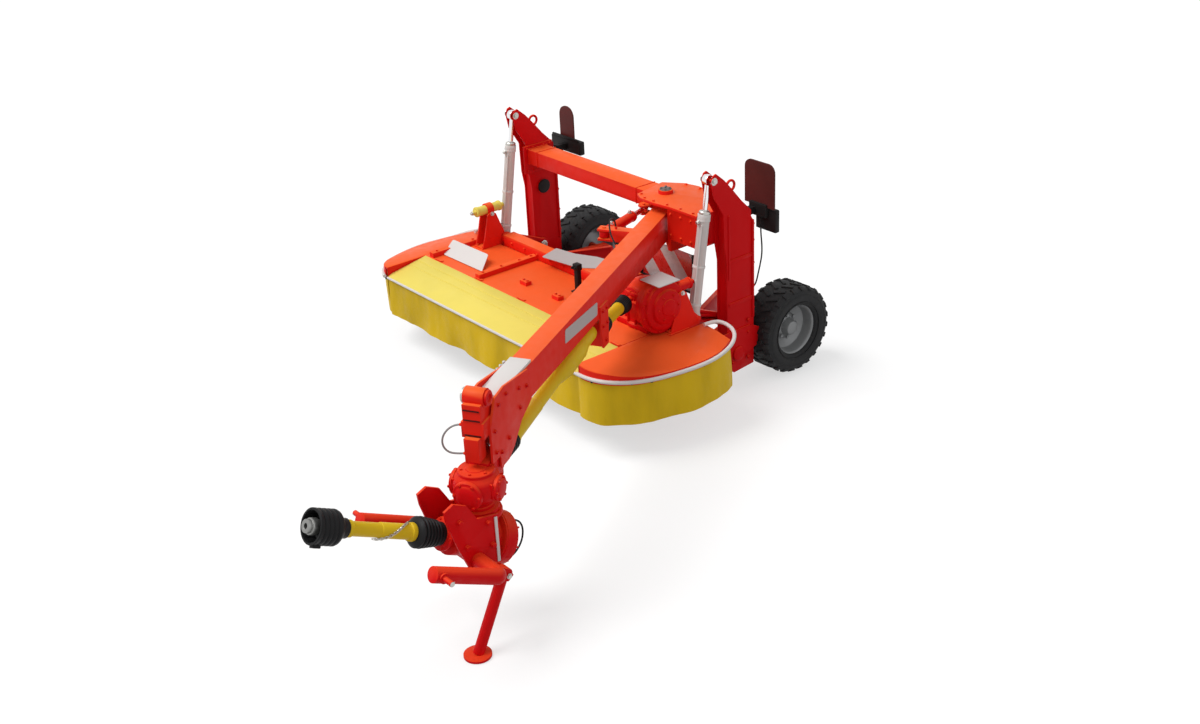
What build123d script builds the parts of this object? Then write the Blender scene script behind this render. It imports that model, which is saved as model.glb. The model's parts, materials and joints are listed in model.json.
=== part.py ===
from build123d import *
from math import cos, hypot, pi, radians, sin, tan
import os

# A trailed disc mower conditioner. Everything is in millimetres. Travel is towards -Y, up is +Z and
# +X is the machine's left. The sizes below are measured from the point on the ground midway between
# the wheels; the finished pieces are moved so that the middle of the whole outline is the origin.
outline_x, outline_y = 610, -2438

# Wheels
track = 2648
tyre_r, tyre_w = 388, 340
rim_r = 215
axle_z = tyre_r

# Portal
upright_x = 1300          # middle of each upright
upright_w = 120
lift_x = 1290             # lift cylinder, tower and relief unit of each side
beam_front, beam_rear = -751, -541
beam_low, beam_top = 1438, 1571

# Drawbar, swung out to the left
pivot_x, pivot_y = 620, -700
drawbar_yaw = 30.1        # degrees from straight ahead
drawbar_len = 3861        # swing pin to the hitch swivel
drawbar_w = 155
drawbar_low, drawbar_top = 1260, 1500

# Mower body
curtain_low = 295
disc_pitch = 412
disc_count = 8
disc_mid_x = -60
disc_y = -1930
disc_z = 345
blade_reach = 224
link_front_y, link_front_z = -1060, 800   # lower link on the mower
link_rear_y, link_rear_z = -660, 630      # lower link on the upright
lift_lean = 9.1           # degrees the lift leans back from upright
lift_foot_y, lift_foot_z = -1022, 789     # barrel's eye on the tower
rotor_y, rotor_z = -1360, 560
gearbox_x, gearbox_y = 1040, -1300
link_y, input_high = -1530, 1000   # joint of the link shaft in front of the gearbox

# Headstock: the hitch below the swivel, nose up
hitch_pitch = 26.5
cross_ahead, cross_z = 150, 575   # cross tube, ahead of the swivel
arm_gap = 830
arm_len = 545
arm_r = 52
input_ahead, input_z = 311, 770   # where the input shaft leaves the gearbox
stand_aside, stand_ahead, stand_z = 313, 68, 522

# Named directions and points worked out from the sizes
ahead = Vector(sin(radians(drawbar_yaw)), -cos(radians(drawbar_yaw)), 0)
aside = Vector(cos(radians(drawbar_yaw)), sin(radians(drawbar_yaw)), 0)
pivot = Vector(pivot_x, pivot_y, 0)
swivel = pivot + ahead * drawbar_len
nose = Vector(0, -cos(radians(hitch_pitch)), sin(radians(hitch_pitch)))
lift_dir = Vector(0, sin(radians(lift_lean)), cos(radians(lift_lean)))
head_z = 1905             # lift rod's eye on the upright's head
lift_span = (head_z - lift_foot_z) / lift_dir.Z
head_y = lift_foot_y + lift_span * lift_dir.Y
head_pin = 15             # the lift rod's eye is wider, as the lift runs a little out of line
arm_inner = track / 2 - tyre_w / 2 - 30   # inner face of the wheel arms' hubs


rod_eye = Vector(460, -806, 1440)         # swing cylinder's pin on the beam


def on_drawbar(along, side, z):
    """A point by its distance along the drawbar, its distance to the left, and its height."""
    return pivot + ahead * along + aside * side + Vector(0, 0, z)


def block(x0, x1, y0, y1, z0, z1, mode=Mode.ADD):
    """A box between two corners."""
    with Locations(((x0 + x1) / 2, (y0 + y1) / 2, (z0 + z1) / 2)):
        Box(x1 - x0, y1 - y0, z1 - z0, mode=mode)


def rod(start, end, radius, mode=Mode.ADD, end_radius=None):
    """A round bar from one point to another, or a cone when it ends on another radius."""
    start, end = Vector(*start), Vector(*end)
    run = end - start
    with Locations(Plane(origin=start, z_dir=run.normalized())):
        if end_radius is None:
            Cylinder(radius, run.length, align=(Align.CENTER, Align.CENTER, Align.MIN), mode=mode)
        else:
            Cone(radius, end_radius, run.length,
                 align=(Align.CENTER, Align.CENTER, Align.MIN), mode=mode)


def side_plate(x0, x1, points, mode=Mode.ADD):
    """A plate seen from the side: its (y, z) outline, from one x to another."""
    with BuildSketch(Plane.YZ.offset(x0)) as outline:
        Polygon(*points, align=None)
    extrude(outline.sketch, amount=x1 - x0, mode=mode)


def level_plate(z0, z1, points, mode=Mode.ADD):
    """A plate seen from above: its (x, y) outline, from one height to another."""
    with BuildSketch(Plane.XY.offset(z0)) as outline:
        Polygon(*points, align=None)
    extrude(outline.sketch, amount=z1 - z0, mode=mode)


def drawbar_plate(side0, side1, points, mode=Mode.ADD):
    """A plate standing along the drawbar: its (along, z) outline, from one side to the other."""
    face = Plane(origin=on_drawbar(0, side1, 0), x_dir=ahead, z_dir=-aside)
    with BuildSketch(face) as outline:
        Polygon(*[(a, z) for a, z in points], align=None)
    extrude(outline.sketch, amount=side1 - side0, mode=mode)


def drawbar_block(a0, a1, s0, s1, z0, z1, mode=Mode.ADD):
    """A box set square to the drawbar."""
    drawbar_plate(s0, s1, ((a0, z0), (a1, z0), (a1, z1), (a0, z1)), mode)


def strip(points, width):
    """The outline of a band of even width that follows a line of points on its right-hand side."""
    inner = []
    for i, (x, y) in enumerate(points):
        x0, y0 = points[max(i - 1, 0)]
        x1, y1 = points[min(i + 1, len(points) - 1)]
        run = hypot(x1 - x0, y1 - y0)
        inner.append((x + (y1 - y0) / run * width, y - (x1 - x0) / run * width))
    return list(points) + inner[::-1]


def smooth(points, step=6):
    """More points on a curve through the given ones."""
    curve = Spline([Vector(x, y) for x, y in points])
    count = (len(points) - 1) * step
    return [(curve.position_at(i / count).X, curve.position_at(i / count).Y)
            for i in range(count + 1)]


def hose_end(at_end, inward):
    """The fitting that a hose leaves, in line with its first run."""
    back = (Vector(*at_end) - Vector(*inward)).normalized()
    rod(at_end, Vector(*at_end) + back * 45, hose_r + 4)


def hose(points):
    """A tube of straight runs joined by arcs as large as the runs allow."""
    points = [Vector(*p) for p in points]
    radii = []
    for before, corner, after in zip(points, points[1:], points[2:]):
        turn = radians((corner - before).get_angle(after - corner))
        radii.append(0.45 * min((corner - before).length, (after - corner).length) / tan(turn / 2))
    with BuildPart() as tube:
        with BuildLine() as path:
            FilletPolyline(*points, radius=radii)
        with BuildSketch(Plane(origin=points[0], z_dir=(points[1] - points[0]).normalized())):
            Circle(hose_r)
        sweep()
    length = sum(edge.length for edge in path.line.edges())
    print("hose", round(length), "mm, radii", [round(r) for r in radii],
          "volume share", round(tube.part.volume / (pi * hose_r ** 2 * length), 3))
    return tube


# Free hoses and the lamp's cable, by the corners of their routes
hose_r = 6.5
headstock_hose_route = [(swivel.X + 40, swivel.Y + y, z) for y, z in (
    (216, 663), (254, 644), (286, 596), (291, 532), (270, 464), (218, 408), (146, 386), (92, 413))]
nose_hose_route = [on_drawbar(drawbar_len + a, s, z) for a, s, z in (
    (-29, -100, 1400), (-27, -135, 1394), (-18, -185, 1360), (-8, -220, 1308), (-6, -226, 1248),
    (-10, -200, 1204), (-17, -148, 1190), (-22, -86, 1200))]
cylinder_hose_route = [on_drawbar(a, s, z) for a, s, z in (
    (632, -215, 1515), (636, -217, 1552), (668, -222, 1592), (728, -222, 1612), (800, -206, 1606),
    (868, -178, 1576), (918, -146, 1534), (950, -100, 1486))]
lamp_cable_route = [
    (1305, -275, 1420), (1306, -277, 1366), (1316, -283, 1294), (1334, -290, 1214), (1340, -296, 1130),
    (1328, -302, 1048), (1316, -312, 970), (1318, -334, 904), (1324, -366, 866), (1326, -398, 862)]

# Root frame: uprights with the wheel arms, beam, lift rods, lamps

upright_side = (
    (head_y - 27, head_z - 10), (head_y - 7, head_z + 45), (head_y + 23, head_z + 57),
    (head_y + 108, head_z - 15), (head_y + 193, head_z - 110), (-520, 1640),
    (-420, 1480), (-412, 1250), (-412, 190), (-640, 170), (-735, 250), (-735, 420),
    (-712, 560), (-712, 1180), (-738, 1330), (-745, 1600), (head_y - 2, head_z - 135))

uprights = {}
for name, side in (("upright_left", 1), ("upright_right", -1)):
    x = side * upright_x
    with BuildPart() as upright:
        # Two side plates with the box column between them
        for x0 in (x - upright_w / 2, x + upright_w / 2 - 12):
            side_plate(x0, x0 + 12, upright_side)
        block(x - 50, x + 50, -700, -430, 190, 1560)
        side_plate(x - 50, x + 50, ((-700, 1560), (-430, 1560), (-520, 1650), (head_y + 203, head_z - 135),
                                    (head_y + 113, head_z - 205)))
        # Head pin that holds the lift rod, with its nuts
        rod((x - 76, head_y, head_z), (x + 76, head_y, head_z), head_pin)
        # Lower link pivot on the front
        rod((x - side * 60, link_rear_y, link_rear_z), (x - side * 118, link_rear_y, link_rear_z), 29.95)
        # Lifting eye at the back of the head
        with Locations(Plane(origin=(x, head_y + 233, head_z - 105), z_dir=(1, 0, 0))):
            Torus(42, 11)
        # Round cover on the inner face
        rod((x - side * 60, -590, 1180), (x - side * 72, -590, 1180), 58)
        # Reinforcing plates: rear of the column and the joint with the beam
        block(x - 74, x + 74, -436, -418, 620, 1480)
        block(min(x - side * 60, x - side * 84), max(x - side * 60, x - side * 84), -790, -470, 1340, 1600)
        if side > 0:
            hose_end(lamp_cable_route[-1], lamp_cable_route[-2])
        # Wheel arm along the inner side of the tyre, with its stub axle
        inner = side * arm_inner
        lo, hi = sorted((inner, inner - side * 70))
        side_plate(lo, hi, ((-640, 430), (-640, 250), (-560, 230), (-40, 305), (60, 340),
                            (85, 388), (60, 440), (-40, 475), (-420, 500)))
        lo, hi = sorted((inner - side * 70, side * (upright_x - 50)))
        block(lo, hi, -640, -440, 250, 430)
        rod((inner - side * 20, 0, axle_z), (side * (track / 2 + 40), 0, axle_z), 38)
        rod((inner, 0, axle_z), (inner + side * 18, 0, axle_z), 78)
    uprights[name] = upright

with BuildPart() as portal_beam:
    block(-upright_x + 84, upright_x - 84, beam_front, beam_rear, beam_low, beam_top)
    # Hinge box beside the drawbar's rear end
    block(860, upright_x - 84, -900, beam_rear, 1310, beam_top)
    # Hinge plates above and below the drawbar's rear end
    level_plate(beam_top, beam_top + 24, (
        (400, -545), (470, -880), (560, -925), (720, -930), (900, -905),
        (upright_x - 84, -905), (upright_x - 84, -470), (700, -400), (560, -430)))
    level_plate(1206, 1230, ((540, -770), (440, -640), (440, -545), (900, -545), (900, -900),
                             (864, -900), (720, -800), (620, -815)))
    block(864, 900, -900, -545, 1206, 1320)
    block(440, 486, -650, -545, 1206, beam_low)
    # Clevis for the swing cylinder's rod
    for z0 in (1400, 1466):
        level_plate(z0, z0 + 14, ((405, -745), (405, -806), (435, -848), (485, -848), (515, -806), (515, -745)))
    rod(rod_eye - Vector(0, 0, 46), rod_eye + Vector(0, 0, 48), 12)
    # Swing pin, round the drawbar's bore
    rod((pivot_x, pivot_y, 1212), (pivot_x, pivot_y, beam_top + 44), 40)
    rod((pivot_x, pivot_y, beam_top + 24), (pivot_x, pivot_y, beam_top + 56), 62)

lift_rods = {}
for name, side in (("lift_rod_left", 1), ("lift_rod_right", -1)):
    x = side * lift_x
    top = Vector(x, head_y, head_z)
    with BuildPart() as lift_rod:
        rod(top - lift_dir * 900, top - lift_dir * 20, 22)
        rod((x - 24, top.Y, top.Z), (x + 24, top.Y, top.Z), 44)
        rod((x - 25, top.Y, top.Z), (x + 25, top.Y, top.Z), head_pin + 14, Mode.SUBTRACT)
    lift_rods[name] = lift_rod

lamps = {}
for name, side in (("rear_lamp_left", 1), ("rear_lamp_right", -1)):
    x = side * 1235
    with BuildPart() as lamp:
        block(x - 215, x + 215, -300, -240, 1440, 1570)
        rod((x - 120, -240, 1505), (x - 120, -222, 1505), 48)
        rod((x + 120, -240, 1505), (x + 120, -222, 1505), 48)
        block(x - 30, x + 30, -418, -300, 1470, 1530)
        if side > 0:
            hose_end(lamp_cable_route[0], lamp_cable_route[1])
        # Tapered marker board standing on the lamp
        with BuildSketch(Plane.XZ.offset(262)) as outline:
            Polygon((x - 115, 1560), (x + 115, 1560), (x + 105, 1820), (x + 60, 1860),
                    (x - 60, 1860), (x - 105, 1820), align=None)
        extrude(outline.sketch, amount=16)
    lamps[name] = lamp

# Wheels

lug_count = 20
with BuildPart() as tyre:
    with BuildSketch(Plane.XY) as section:
        with BuildLine():
            Spline((rim_r, -132), (rim_r + 70, -167), (tyre_r - 60, -160), (tyre_r - 22, -128))
            Line((tyre_r - 22, -128), (tyre_r - 18, 128))
            Spline((tyre_r - 18, 128), (tyre_r - 60, 160), (rim_r + 70, 167), (rim_r, 132))
            Line((rim_r, 132), (rim_r, -132))
        make_face()
    revolve(section.sketch, axis=Axis.Y)
    # Chevron lugs, every second one to the other side
    places = [Rotation(0, 360 / lug_count * (n + hand / 4), 0)
              * Location((tyre_r - 18, hand * 82, 0), (hand * 28, 0, 0))
              for n in range(lug_count) for hand in (1, -1)]
    with Locations(*places):
        Box(30, 164, 34)
    rod((0, -200, 0), (0, 200, 0), tyre_r, Mode.INTERSECT)
    rod((0, -200, 0), (0, 200, 0), rim_r, Mode.SUBTRACT)
with BuildPart() as rim:
    # The outer side faces +Y until the rim is turned into place
    rod((0, -130, 0), (0, 130, 0), rim_r)
    rod((0, 30, 0), (0, 131, 0), rim_r - 16, Mode.SUBTRACT)
    rod((0, -131, 0), (0, 10, 0), rim_r - 16, Mode.SUBTRACT)
    rod((0, -100, 0), (0, 62, 0), 76)
    rod((0, 62, 0), (0, 96, 0), 52)
    rod((0, -102, 0), (0, 50, 0), 38.05, Mode.SUBTRACT)
    with Locations(*[Location((118 * cos(radians(45 * n)), 38, 118 * sin(radians(45 * n))), (90, 0, 0))
                     for n in range(8)]):
        Cylinder(13, 20)
wheels = {}
for corner, side in (("left", 1), ("right", -1)):
    place = Location((side * track / 2, 0, axle_z), (0, 0, side * -90))
    wheels["tyre_" + corner] = tyre.part.moved(place)
    wheels["rim_" + corner] = rim.part.moved(place)

# Mower body

# Plan outlines of the two rounded ends, front to rear
left_end = smooth(((1238, -2190), (1404, -2186), (1592, -2063), (1714, -1867),
                   (1773, -1612), (1793, -1369), (1757, -1152), (1682, -994)))
right_end = smooth(((-1508, -2188), (-1618, -2150), (-1768, -1959), (-1868, -1712),
                    (-1883, -1479), (-1843, -1262), (-1734, -1048)))

with BuildPart() as deck:
    # Top sheet between the front cover and the rear edge, open where the lower links pass
    side_plate(-1500, 1150, ((-1775, 748), (-1140, 748), (-880, 700), (-880, 688),
                             (-1145, 736), (-1775, 736)))
    block(-1240, -1160, -1125, -870, 660, 770, Mode.SUBTRACT)
    # Carrier tube, with the pins of the lower links on its ends
    block(-1180, 1180, -1120, -1000, 748, 850)
    rod((-1234, link_front_y, link_front_z), (-1170, link_front_y, link_front_z), 33.95)
    rod((1170, link_front_y, link_front_z), (1234, link_front_y, link_front_z), 33.95)
    # Rails that stiffen the sheet
    for x in (-1420, -700, 600):
        block(x - 30, x + 30, -1760, -1000, 748, 792)
    # Posts of the warning board, stayed to the carrier tube
    for x in (268, 700):
        block(x, x + 32, -700, -672, 740, 1150)
        side_plate(x, x + 32, ((-1010, 748), (-1010, 800), (-700, 780), (-700, 740)))
    # Folded seam and lugs on the sheet
    for x in (-1050, -300, 150):
        block(x - 45, x + 45, -1560, -1500, 748, 784)
    # Towers that carry the lift cylinders and the relief units
    for x in (-lift_x, lift_x):
        for x0 in (x - 62, x + 48):
            side_plate(x0, x0 + 14, ((-1330, 736), (-1010, 736), (-1010, 800), (-1070, 860), (-1150, 1060),
                                     (-1190, 1086), (-1240, 1060), (-1290, 850)))
        block(x - 62, x + 62, -1330, -1120, 736, 762)
        base = Vector(x, head_y, head_z) - lift_dir * lift_span
        rod((x - 66, base.Y, base.Z), (x + 66, base.Y, base.Z), 21.95)
    # End walls down to the cutter bar
    for x0 in (-1500, 1138):
        side_plate(x0, x0 + 12, ((-1690, 300), (-1690, 400), (-1775, 450), (-1775, 748), (-1140, 748),
                                 (-880, 700), (-860, 420), (-1250, 300)))
    # Fixed sheet under the left tower and beside the gearbox
    level_plate(736, 748, ((1150, -1770), (1228, -1770), (1228, -1345), (1360, -1345), (1360, -1130),
                           (1150, -1130)))
    block(1216, 1250, -1766, -1356, 724, 736)

with BuildPart() as conditioner_housing:
    # Curved hood over the rotor, open at the front and at the rear
    with BuildSketch(Plane.YZ.offset(-1130)) as arch:
        with BuildLine():
            Spline((-1690, 560), (-1560, 690), (-1360, 730), (-1150, 690), (-900, 600))
            Line((-900, 600), (-900, 590))
            Spline((-900, 590), (-1150, 678), (-1360, 718), (-1560, 678), (-1680, 556))
            Line((-1680, 556), (-1690, 560))
        make_face()
    extrude(arch.sketch, amount=2190)
    for x0 in (-1142, 1060):
        side_plate(x0, x0 + 12, ((-1690, 560), (-1560, 690), (-1480, 736), (-1220, 736), (-1150, 690),
                                 (-900, 600), (-880, 380), (-1100, 330), (-1640, 330)))
        rod((x0 - 1, rotor_y, rotor_z), (x0 + 13, rotor_y, rotor_z), 30.05, Mode.SUBTRACT)

with BuildPart() as cutter_bar:
    ends = [disc_mid_x + side * ((disc_count - 1) / 2 * disc_pitch + 125) for side in (-1, 1)]
    block(*ends, disc_y - 70, disc_y + 170, 262, 300)
    side_plate(*ends, ((disc_y - 70, 262), (disc_y - 30, 248), (disc_y + 130, 248), (disc_y + 170, 262)))
    for n in range(disc_count):
        x = disc_mid_x + (n - (disc_count - 1) / 2) * disc_pitch
        rod((x, disc_y, 298), (x, disc_y, disc_z - 15), 62)
        rod((x, disc_y, 298), (x, disc_y, disc_z + 18), 22)
        # Skid under each disc
        side_plate(x - 120, x + 120, ((disc_y - 130, 290), (disc_y - 110, 262), (disc_y - 30, 238),
                                      (disc_y + 170, 238), (disc_y + 190, 262), (disc_y - 30, 250),
                                      (disc_y - 100, 290)))
    # Ears that bolt it to the deck's end walls, low where the blades pass
    for x0 in (-1488, 1124):
        block(x0, x0 + 14, disc_y + 160, -1640, 272, 312)
        block(x0, x0 + 14, disc_y + 240, -1640, 300, 380)

discs = []
for n in range(disc_count):
    x = disc_mid_x + (n - (disc_count - 1) / 2) * disc_pitch
    with BuildPart() as disc:
        # Oval disc with a domed cap and two blades, each a quarter turn from the next disc
        long_x = n % 2 == 0
        with BuildSketch(Plane.XY.offset(disc_z - 10)) as oval:
            Ellipse(*(190, 140) if long_x else (140, 190))
        extrude(oval.sketch, amount=18)
        with Locations((0, 0, disc_z + 8)):
            Cone(110, 60, 34, align=(Align.CENTER, Align.CENTER, Align.MIN))
        for hand in (-1, 1):
            if long_x:
                block(min(hand * 160, hand * blade_reach), max(hand * 160, hand * blade_reach), -24, 24, disc_z - 14, disc_z - 8)
            else:
                block(-24, 24, min(hand * 160, hand * blade_reach), max(hand * 160, hand * blade_reach), disc_z - 14, disc_z - 8)
        rod((0, 0, disc_z - 20), (0, 0, disc_z + 20), 22.05, Mode.SUBTRACT)
    discs.append((f"disc_{n + 1}", disc.part.moved(Location((x, disc_y, 0)))))

with BuildPart() as rotor:
    rod((-1125, rotor_y, rotor_z), (1055, rotor_y, rotor_z), 60)
    rod((-1141, rotor_y, rotor_z), (1071, rotor_y, rotor_z), 30)
    # Forked tines in four rows, stepped along the drum
    places = []
    for row in range(4):
        a = radians(90 * row + 20)
        out = Vector(0, cos(a), sin(a))
        for x in range(-1060 + 45 * (row % 2), 1040, 95):
            for lean in (-14, 14):
                start = Vector(x, rotor_y, rotor_z) + out * 50
                run = out * 92 + Vector(lean, 0, 0)
                places.append(Plane(origin=start, x_dir=(1, 0, 0), z_dir=run.normalized()).location)
    with Locations(*places):
        Box(13, 26, 92, align=(Align.CENTER, Align.CENTER, Align.MIN))

# Front cover, yellow: a sloping sheet with its curtain rail
with BuildPart() as front_cover:
    side_plate(-1500, 1230, ((-1775.5, 748), (-2150, 684), (-2188, 662), (-2188, 640), (-2176, 640),
                             (-2176, 656), (-2148, 672), (-1775.5, 736)))
with BuildPart() as front_curtain:
    # The cloth hangs in shallow folds
    wave = [(-1500 + 53.6 * i, -2184 - 4 * cos(i * pi / 3)) for i in range(52)]
    level_plate(curtain_low, 640, strip(wave, -6))

# Covers over the two rounded ends: a sheet that falls towards its edge, with the edge turned down
end_covers = {}
for name, line, inner, side in (
        ("left", left_end, [(1365, -990), (1365, -1345), (1236, -1345), (1236, -2188)], 1),
        ("right", right_end, [(-1500.5, -1048), (-1500.5, -2188)], -1)):
    edge_x = line[len(line) // 2 + 4][0]
    start = inner[-1][0]
    mid = start + (edge_x - start) * 0.55
    with BuildPart() as cover:
        level_plate(600, 800, [p for p in line if side * p[0] > side * start + 4] + inner)
        with BuildSketch(Plane.XZ.offset(800)) as fall:
            Polygon((start - side * 60, 748), (start + side * 40, 748), (mid, 728), (edge_x + side * 30, 684),
                    (edge_x + side * 30, 672), (mid, 716), (start + side * 40, 736), (start - side * 60, 736),
                    align=None)
        extrude(fall.sketch, amount=1500, mode=Mode.INTERSECT)
        edge = [p for p in line if side * p[0] > side * start + 30]
        level_plate(640, 690, strip(edge if side > 0 else edge[::-1], -10))
    end_covers["cover_" + name] = cover

curtains = {}
for name, line in (("left", left_end), ("right", right_end[::-1])):
    with BuildPart() as curtain:
        level_plate(curtain_low, 640, strip(line, -6))
    curtains["curtain_" + name] = curtain

with BuildPart() as main_gearbox:
    # Upright housing over the left end of the cutter bar
    gx, gy = gearbox_x, gearbox_y
    rod((gx, gy, 760), (gx, gy, 1080), 175)
    rod((gx, gy, 1080), (gx, gy, 1118), 140)
    rod((gx, gy, 1118), (gx, gy, 1140), 60)
    block(gx - 200, gx + 180, gy - 165, gy + 165, 748, 800)
    rod((gx, gy, input_high), (gx, link_y + 60, input_high), 92)
    rod((gx, gy, input_high), (gx, link_y + 26, input_high), 30)
    block(gx - 215, gx + 182, gy - 90, gy + 90, 830, 1010)
    # Ribs round the casting
    with Locations(*[Location((gx, gy, 915), (0, 0, 45 * n + 10)) for n in range(4)]):
        Box(356, 14, 220)
with BuildPart() as rotor_drive:
    # Case of the rotor's drive, outside the conditioner housing
    block(1072, 1132, -1440, -1290, 470, 736)

springs = {}
for name, side in (("relief_unit_left", 1), ("relief_unit_right", -1)):
    x = side * lift_x
    with BuildPart() as spring:
        rod((x, -1330, 1098), (x, -1060, 1098), 42)
        rod((x, -1330, 1098), (x, -1366, 1098), 20)
        rod((x, -1060, 1098), (x, -1024, 1098), 20)
        rod((x - 46, -1190, 1064), (x + 46, -1190, 1064), 18)
    springs[name] = spring

lift_barrels = {}
for name, side in (("lift_barrel_left", 1), ("lift_barrel_right", -1)):
    x = side * lift_x
    top = Vector(x, head_y, head_z)
    base = top - lift_dir * lift_span
    with BuildPart() as barrel:
        rod(base + lift_dir * 30, base + lift_dir * 830, 47)
        rod(base + lift_dir * 806, base + lift_dir * 852, 52)
        rod(base + lift_dir * 60, base + lift_dir * 860, 23, Mode.SUBTRACT)
        rod((x - 30, base.Y, base.Z), (x + 30, base.Y, base.Z), 48)
        rod((x - 31, base.Y, base.Z), (x + 31, base.Y, base.Z), 22, Mode.SUBTRACT)
    lift_barrels[name] = barrel

with BuildPart() as warning_board:
    with BuildSketch(Plane.XZ.offset(700)) as outline:
        with Locations((500, 960)):
            Rectangle(440, 340)
    extrude(outline.sketch, amount=10)
swath_boards = {}
for name, line in (
        ("swath_board_left", [(1052, -960), (1052, -885), (arm_inner - 224, -560), (arm_inner - 404, -180)]),
        ("swath_board_right", [(-1130, -960), (-1130, -885), (164 - arm_inner, -560), (344 - arm_inner, -180)])):
    with BuildPart() as swath_board:
        level_plate(400, 590, strip(line, 8))
        level_plate(582, 590, strip(line[1:], 8 - 44 if line[0][0] > 0 else 44))
    swath_boards[name] = swath_board

lower_links = {}
for name, side in (("lower_link_left", 1), ("lower_link_right", -1)):
    x0, x1 = sorted((side * 1184, side * 1222))
    with BuildPart() as link:
        side_plate(x0, x1, ((link_rear_y - 10, link_rear_z - 52), (link_rear_y + 42, link_rear_z),
                            (link_rear_y, link_rear_z + 54), (link_front_y + 10, link_front_z + 50),
                            (link_front_y - 46, link_front_z), (link_front_y - 6, link_front_z - 50)))
        rod((x0, link_rear_y, link_rear_z), (x1, link_rear_y, link_rear_z), 56)
        rod((x0, link_front_y, link_front_z), (x1, link_front_y, link_front_z), 54)
        rod((x0 - 1, link_rear_y, link_rear_z), (x1 + 1, link_rear_y, link_rear_z), 30, Mode.SUBTRACT)
        rod((x0 - 1, link_front_y, link_front_z), (x1 + 1, link_front_y, link_front_z), 34, Mode.SUBTRACT)
    lower_links[name] = link

# Drawbar with its driveline and swing cylinder

barrel_eye = Vector(*on_drawbar(623, -320, rod_eye.Z))
cylinder_dir = (rod_eye - barrel_eye).normalized()
cylinder_len = (rod_eye - barrel_eye).length

with BuildPart() as drawbar:
    half = drawbar_w / 2
    drawbar_block(0, 200, -half, half, drawbar_low, beam_low - 10)
    drawbar_block(130, drawbar_len - 441, -half, half, drawbar_low, drawbar_top)
    rod((pivot_x, pivot_y, 1236), (pivot_x, pivot_y, beam_low - 6), 105)
    # Fork plates down to the upper gearbox
    for s0 in (-half - 16, half):
        drawbar_plate(s0, s0 + 16, [(drawbar_len - back, z) for back, z in (
            (711, 1270), (531, 1200), (391, 1080), (301, 1035), (181, 1035), (177, 1126),
            (61, 1126), (71, 1380), (161, 1545), (301, 1560), (681, 1500))])
    drawbar_block(drawbar_len - 461, drawbar_len - 161, -half, half, 1440, 1500)
    # Arm for the swing cylinder, forked at its end
    drawbar_block(580, 666, -258, -half, 1390, 1490)
    for z0 in (1390, 1472):
        drawbar_block(580, 666, -364, -250, z0, z0 + 18)
    rod((pivot_x, pivot_y, 1200), (pivot_x, pivot_y, 1640), 40.05, Mode.SUBTRACT)
    # Bracket that hangs the rear end of the driveline
    for s0 in (-half - 16, half):
        drawbar_plate(s0, s0 + 16, ((1700, 1010), (1800, 1010), (1830, 1150), (1830, 1350), (1680, 1350), (1680, 1150)))
    drawbar_block(1700, 1800, -half, half, 1020, 1200)
    rod(on_drawbar(1700, 0, 1100), on_drawbar(1690, 0, 1100), 40)
    # Hose and cable holder on the nose
    drawbar_block(drawbar_len - 221, drawbar_len, -half, half, 1330, 1440)
    drawbar_block(drawbar_len - 161, drawbar_len, -62, 62, 1330, 1560)
    rod(on_drawbar(drawbar_len - 91, -70, 1580), on_drawbar(drawbar_len - 91, 70, 1580), 62)
    drawbar_block(drawbar_len - 61, drawbar_len + 39, -50, 50, 1180, 1340)
    # Ends of the free hoses
    for route in (nose_hose_route, cylinder_hose_route):
        hose_end(route[0], route[1])
        hose_end(route[-1], route[-2])
    # Pin of the swing cylinder
    rod(barrel_eye - Vector(0, 0, 56), barrel_eye + Vector(0, 0, 56), 15.95)

with BuildPart() as drawbar_cover:
    drawbar_block(drawbar_len - 881, drawbar_len - 461, -half, half, drawbar_top, drawbar_top + 22)
guard_front, guard_rear = on_drawbar(drawbar_len - 261, 0, 1022), on_drawbar(1830, 0, 1150)
guard_run = (guard_rear - guard_front).normalized()
with BuildPart() as upper_gearbox:
    rod((swivel.X, swivel.Y, 880), (swivel.X, swivel.Y, 1090), 172)
    rod((swivel.X, swivel.Y, 1090), (swivel.X, swivel.Y, 1120), 120)
    drawbar_block(drawbar_len - 249, drawbar_len, -half, half, 930, 1180)
    rod(guard_front, guard_front - guard_run * 120, 74)
    rod((swivel.X, swivel.Y, 860), (swivel.X, swivel.Y, 880), 130)
    rod((swivel.X, swivel.Y, 850), (swivel.X, swivel.Y, 930), 60.05, Mode.SUBTRACT)
    for n in range(8):
        a = radians(45 * n)
        rod((swivel.X + 160 * cos(a), swivel.Y + 160 * sin(a), 870),
            (swivel.X + 160 * cos(a), swivel.Y + 160 * sin(a), 895), 16)

with BuildPart() as drive_guard:
    # Driveline under the drawbar in its guard, flared where its joints are
    run = guard_rear - guard_front
    at = lambda t: guard_front + run * t
    rod(at(0.16), at(0.62), 54)
    rod(at(0.62), at(0.70), 54, end_radius=82)
    rod(at(0.70), at(0.84), 82)
    rod(at(0.84), at(0.90), 82, end_radius=60)
    rod(at(0.90), at(1.0), 60)
with BuildPart() as drive_boot:
    rod(at(0.0), at(0.05), 62)
    rod(at(0.05), at(0.16), drawbar_w / 2 - 2)

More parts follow.
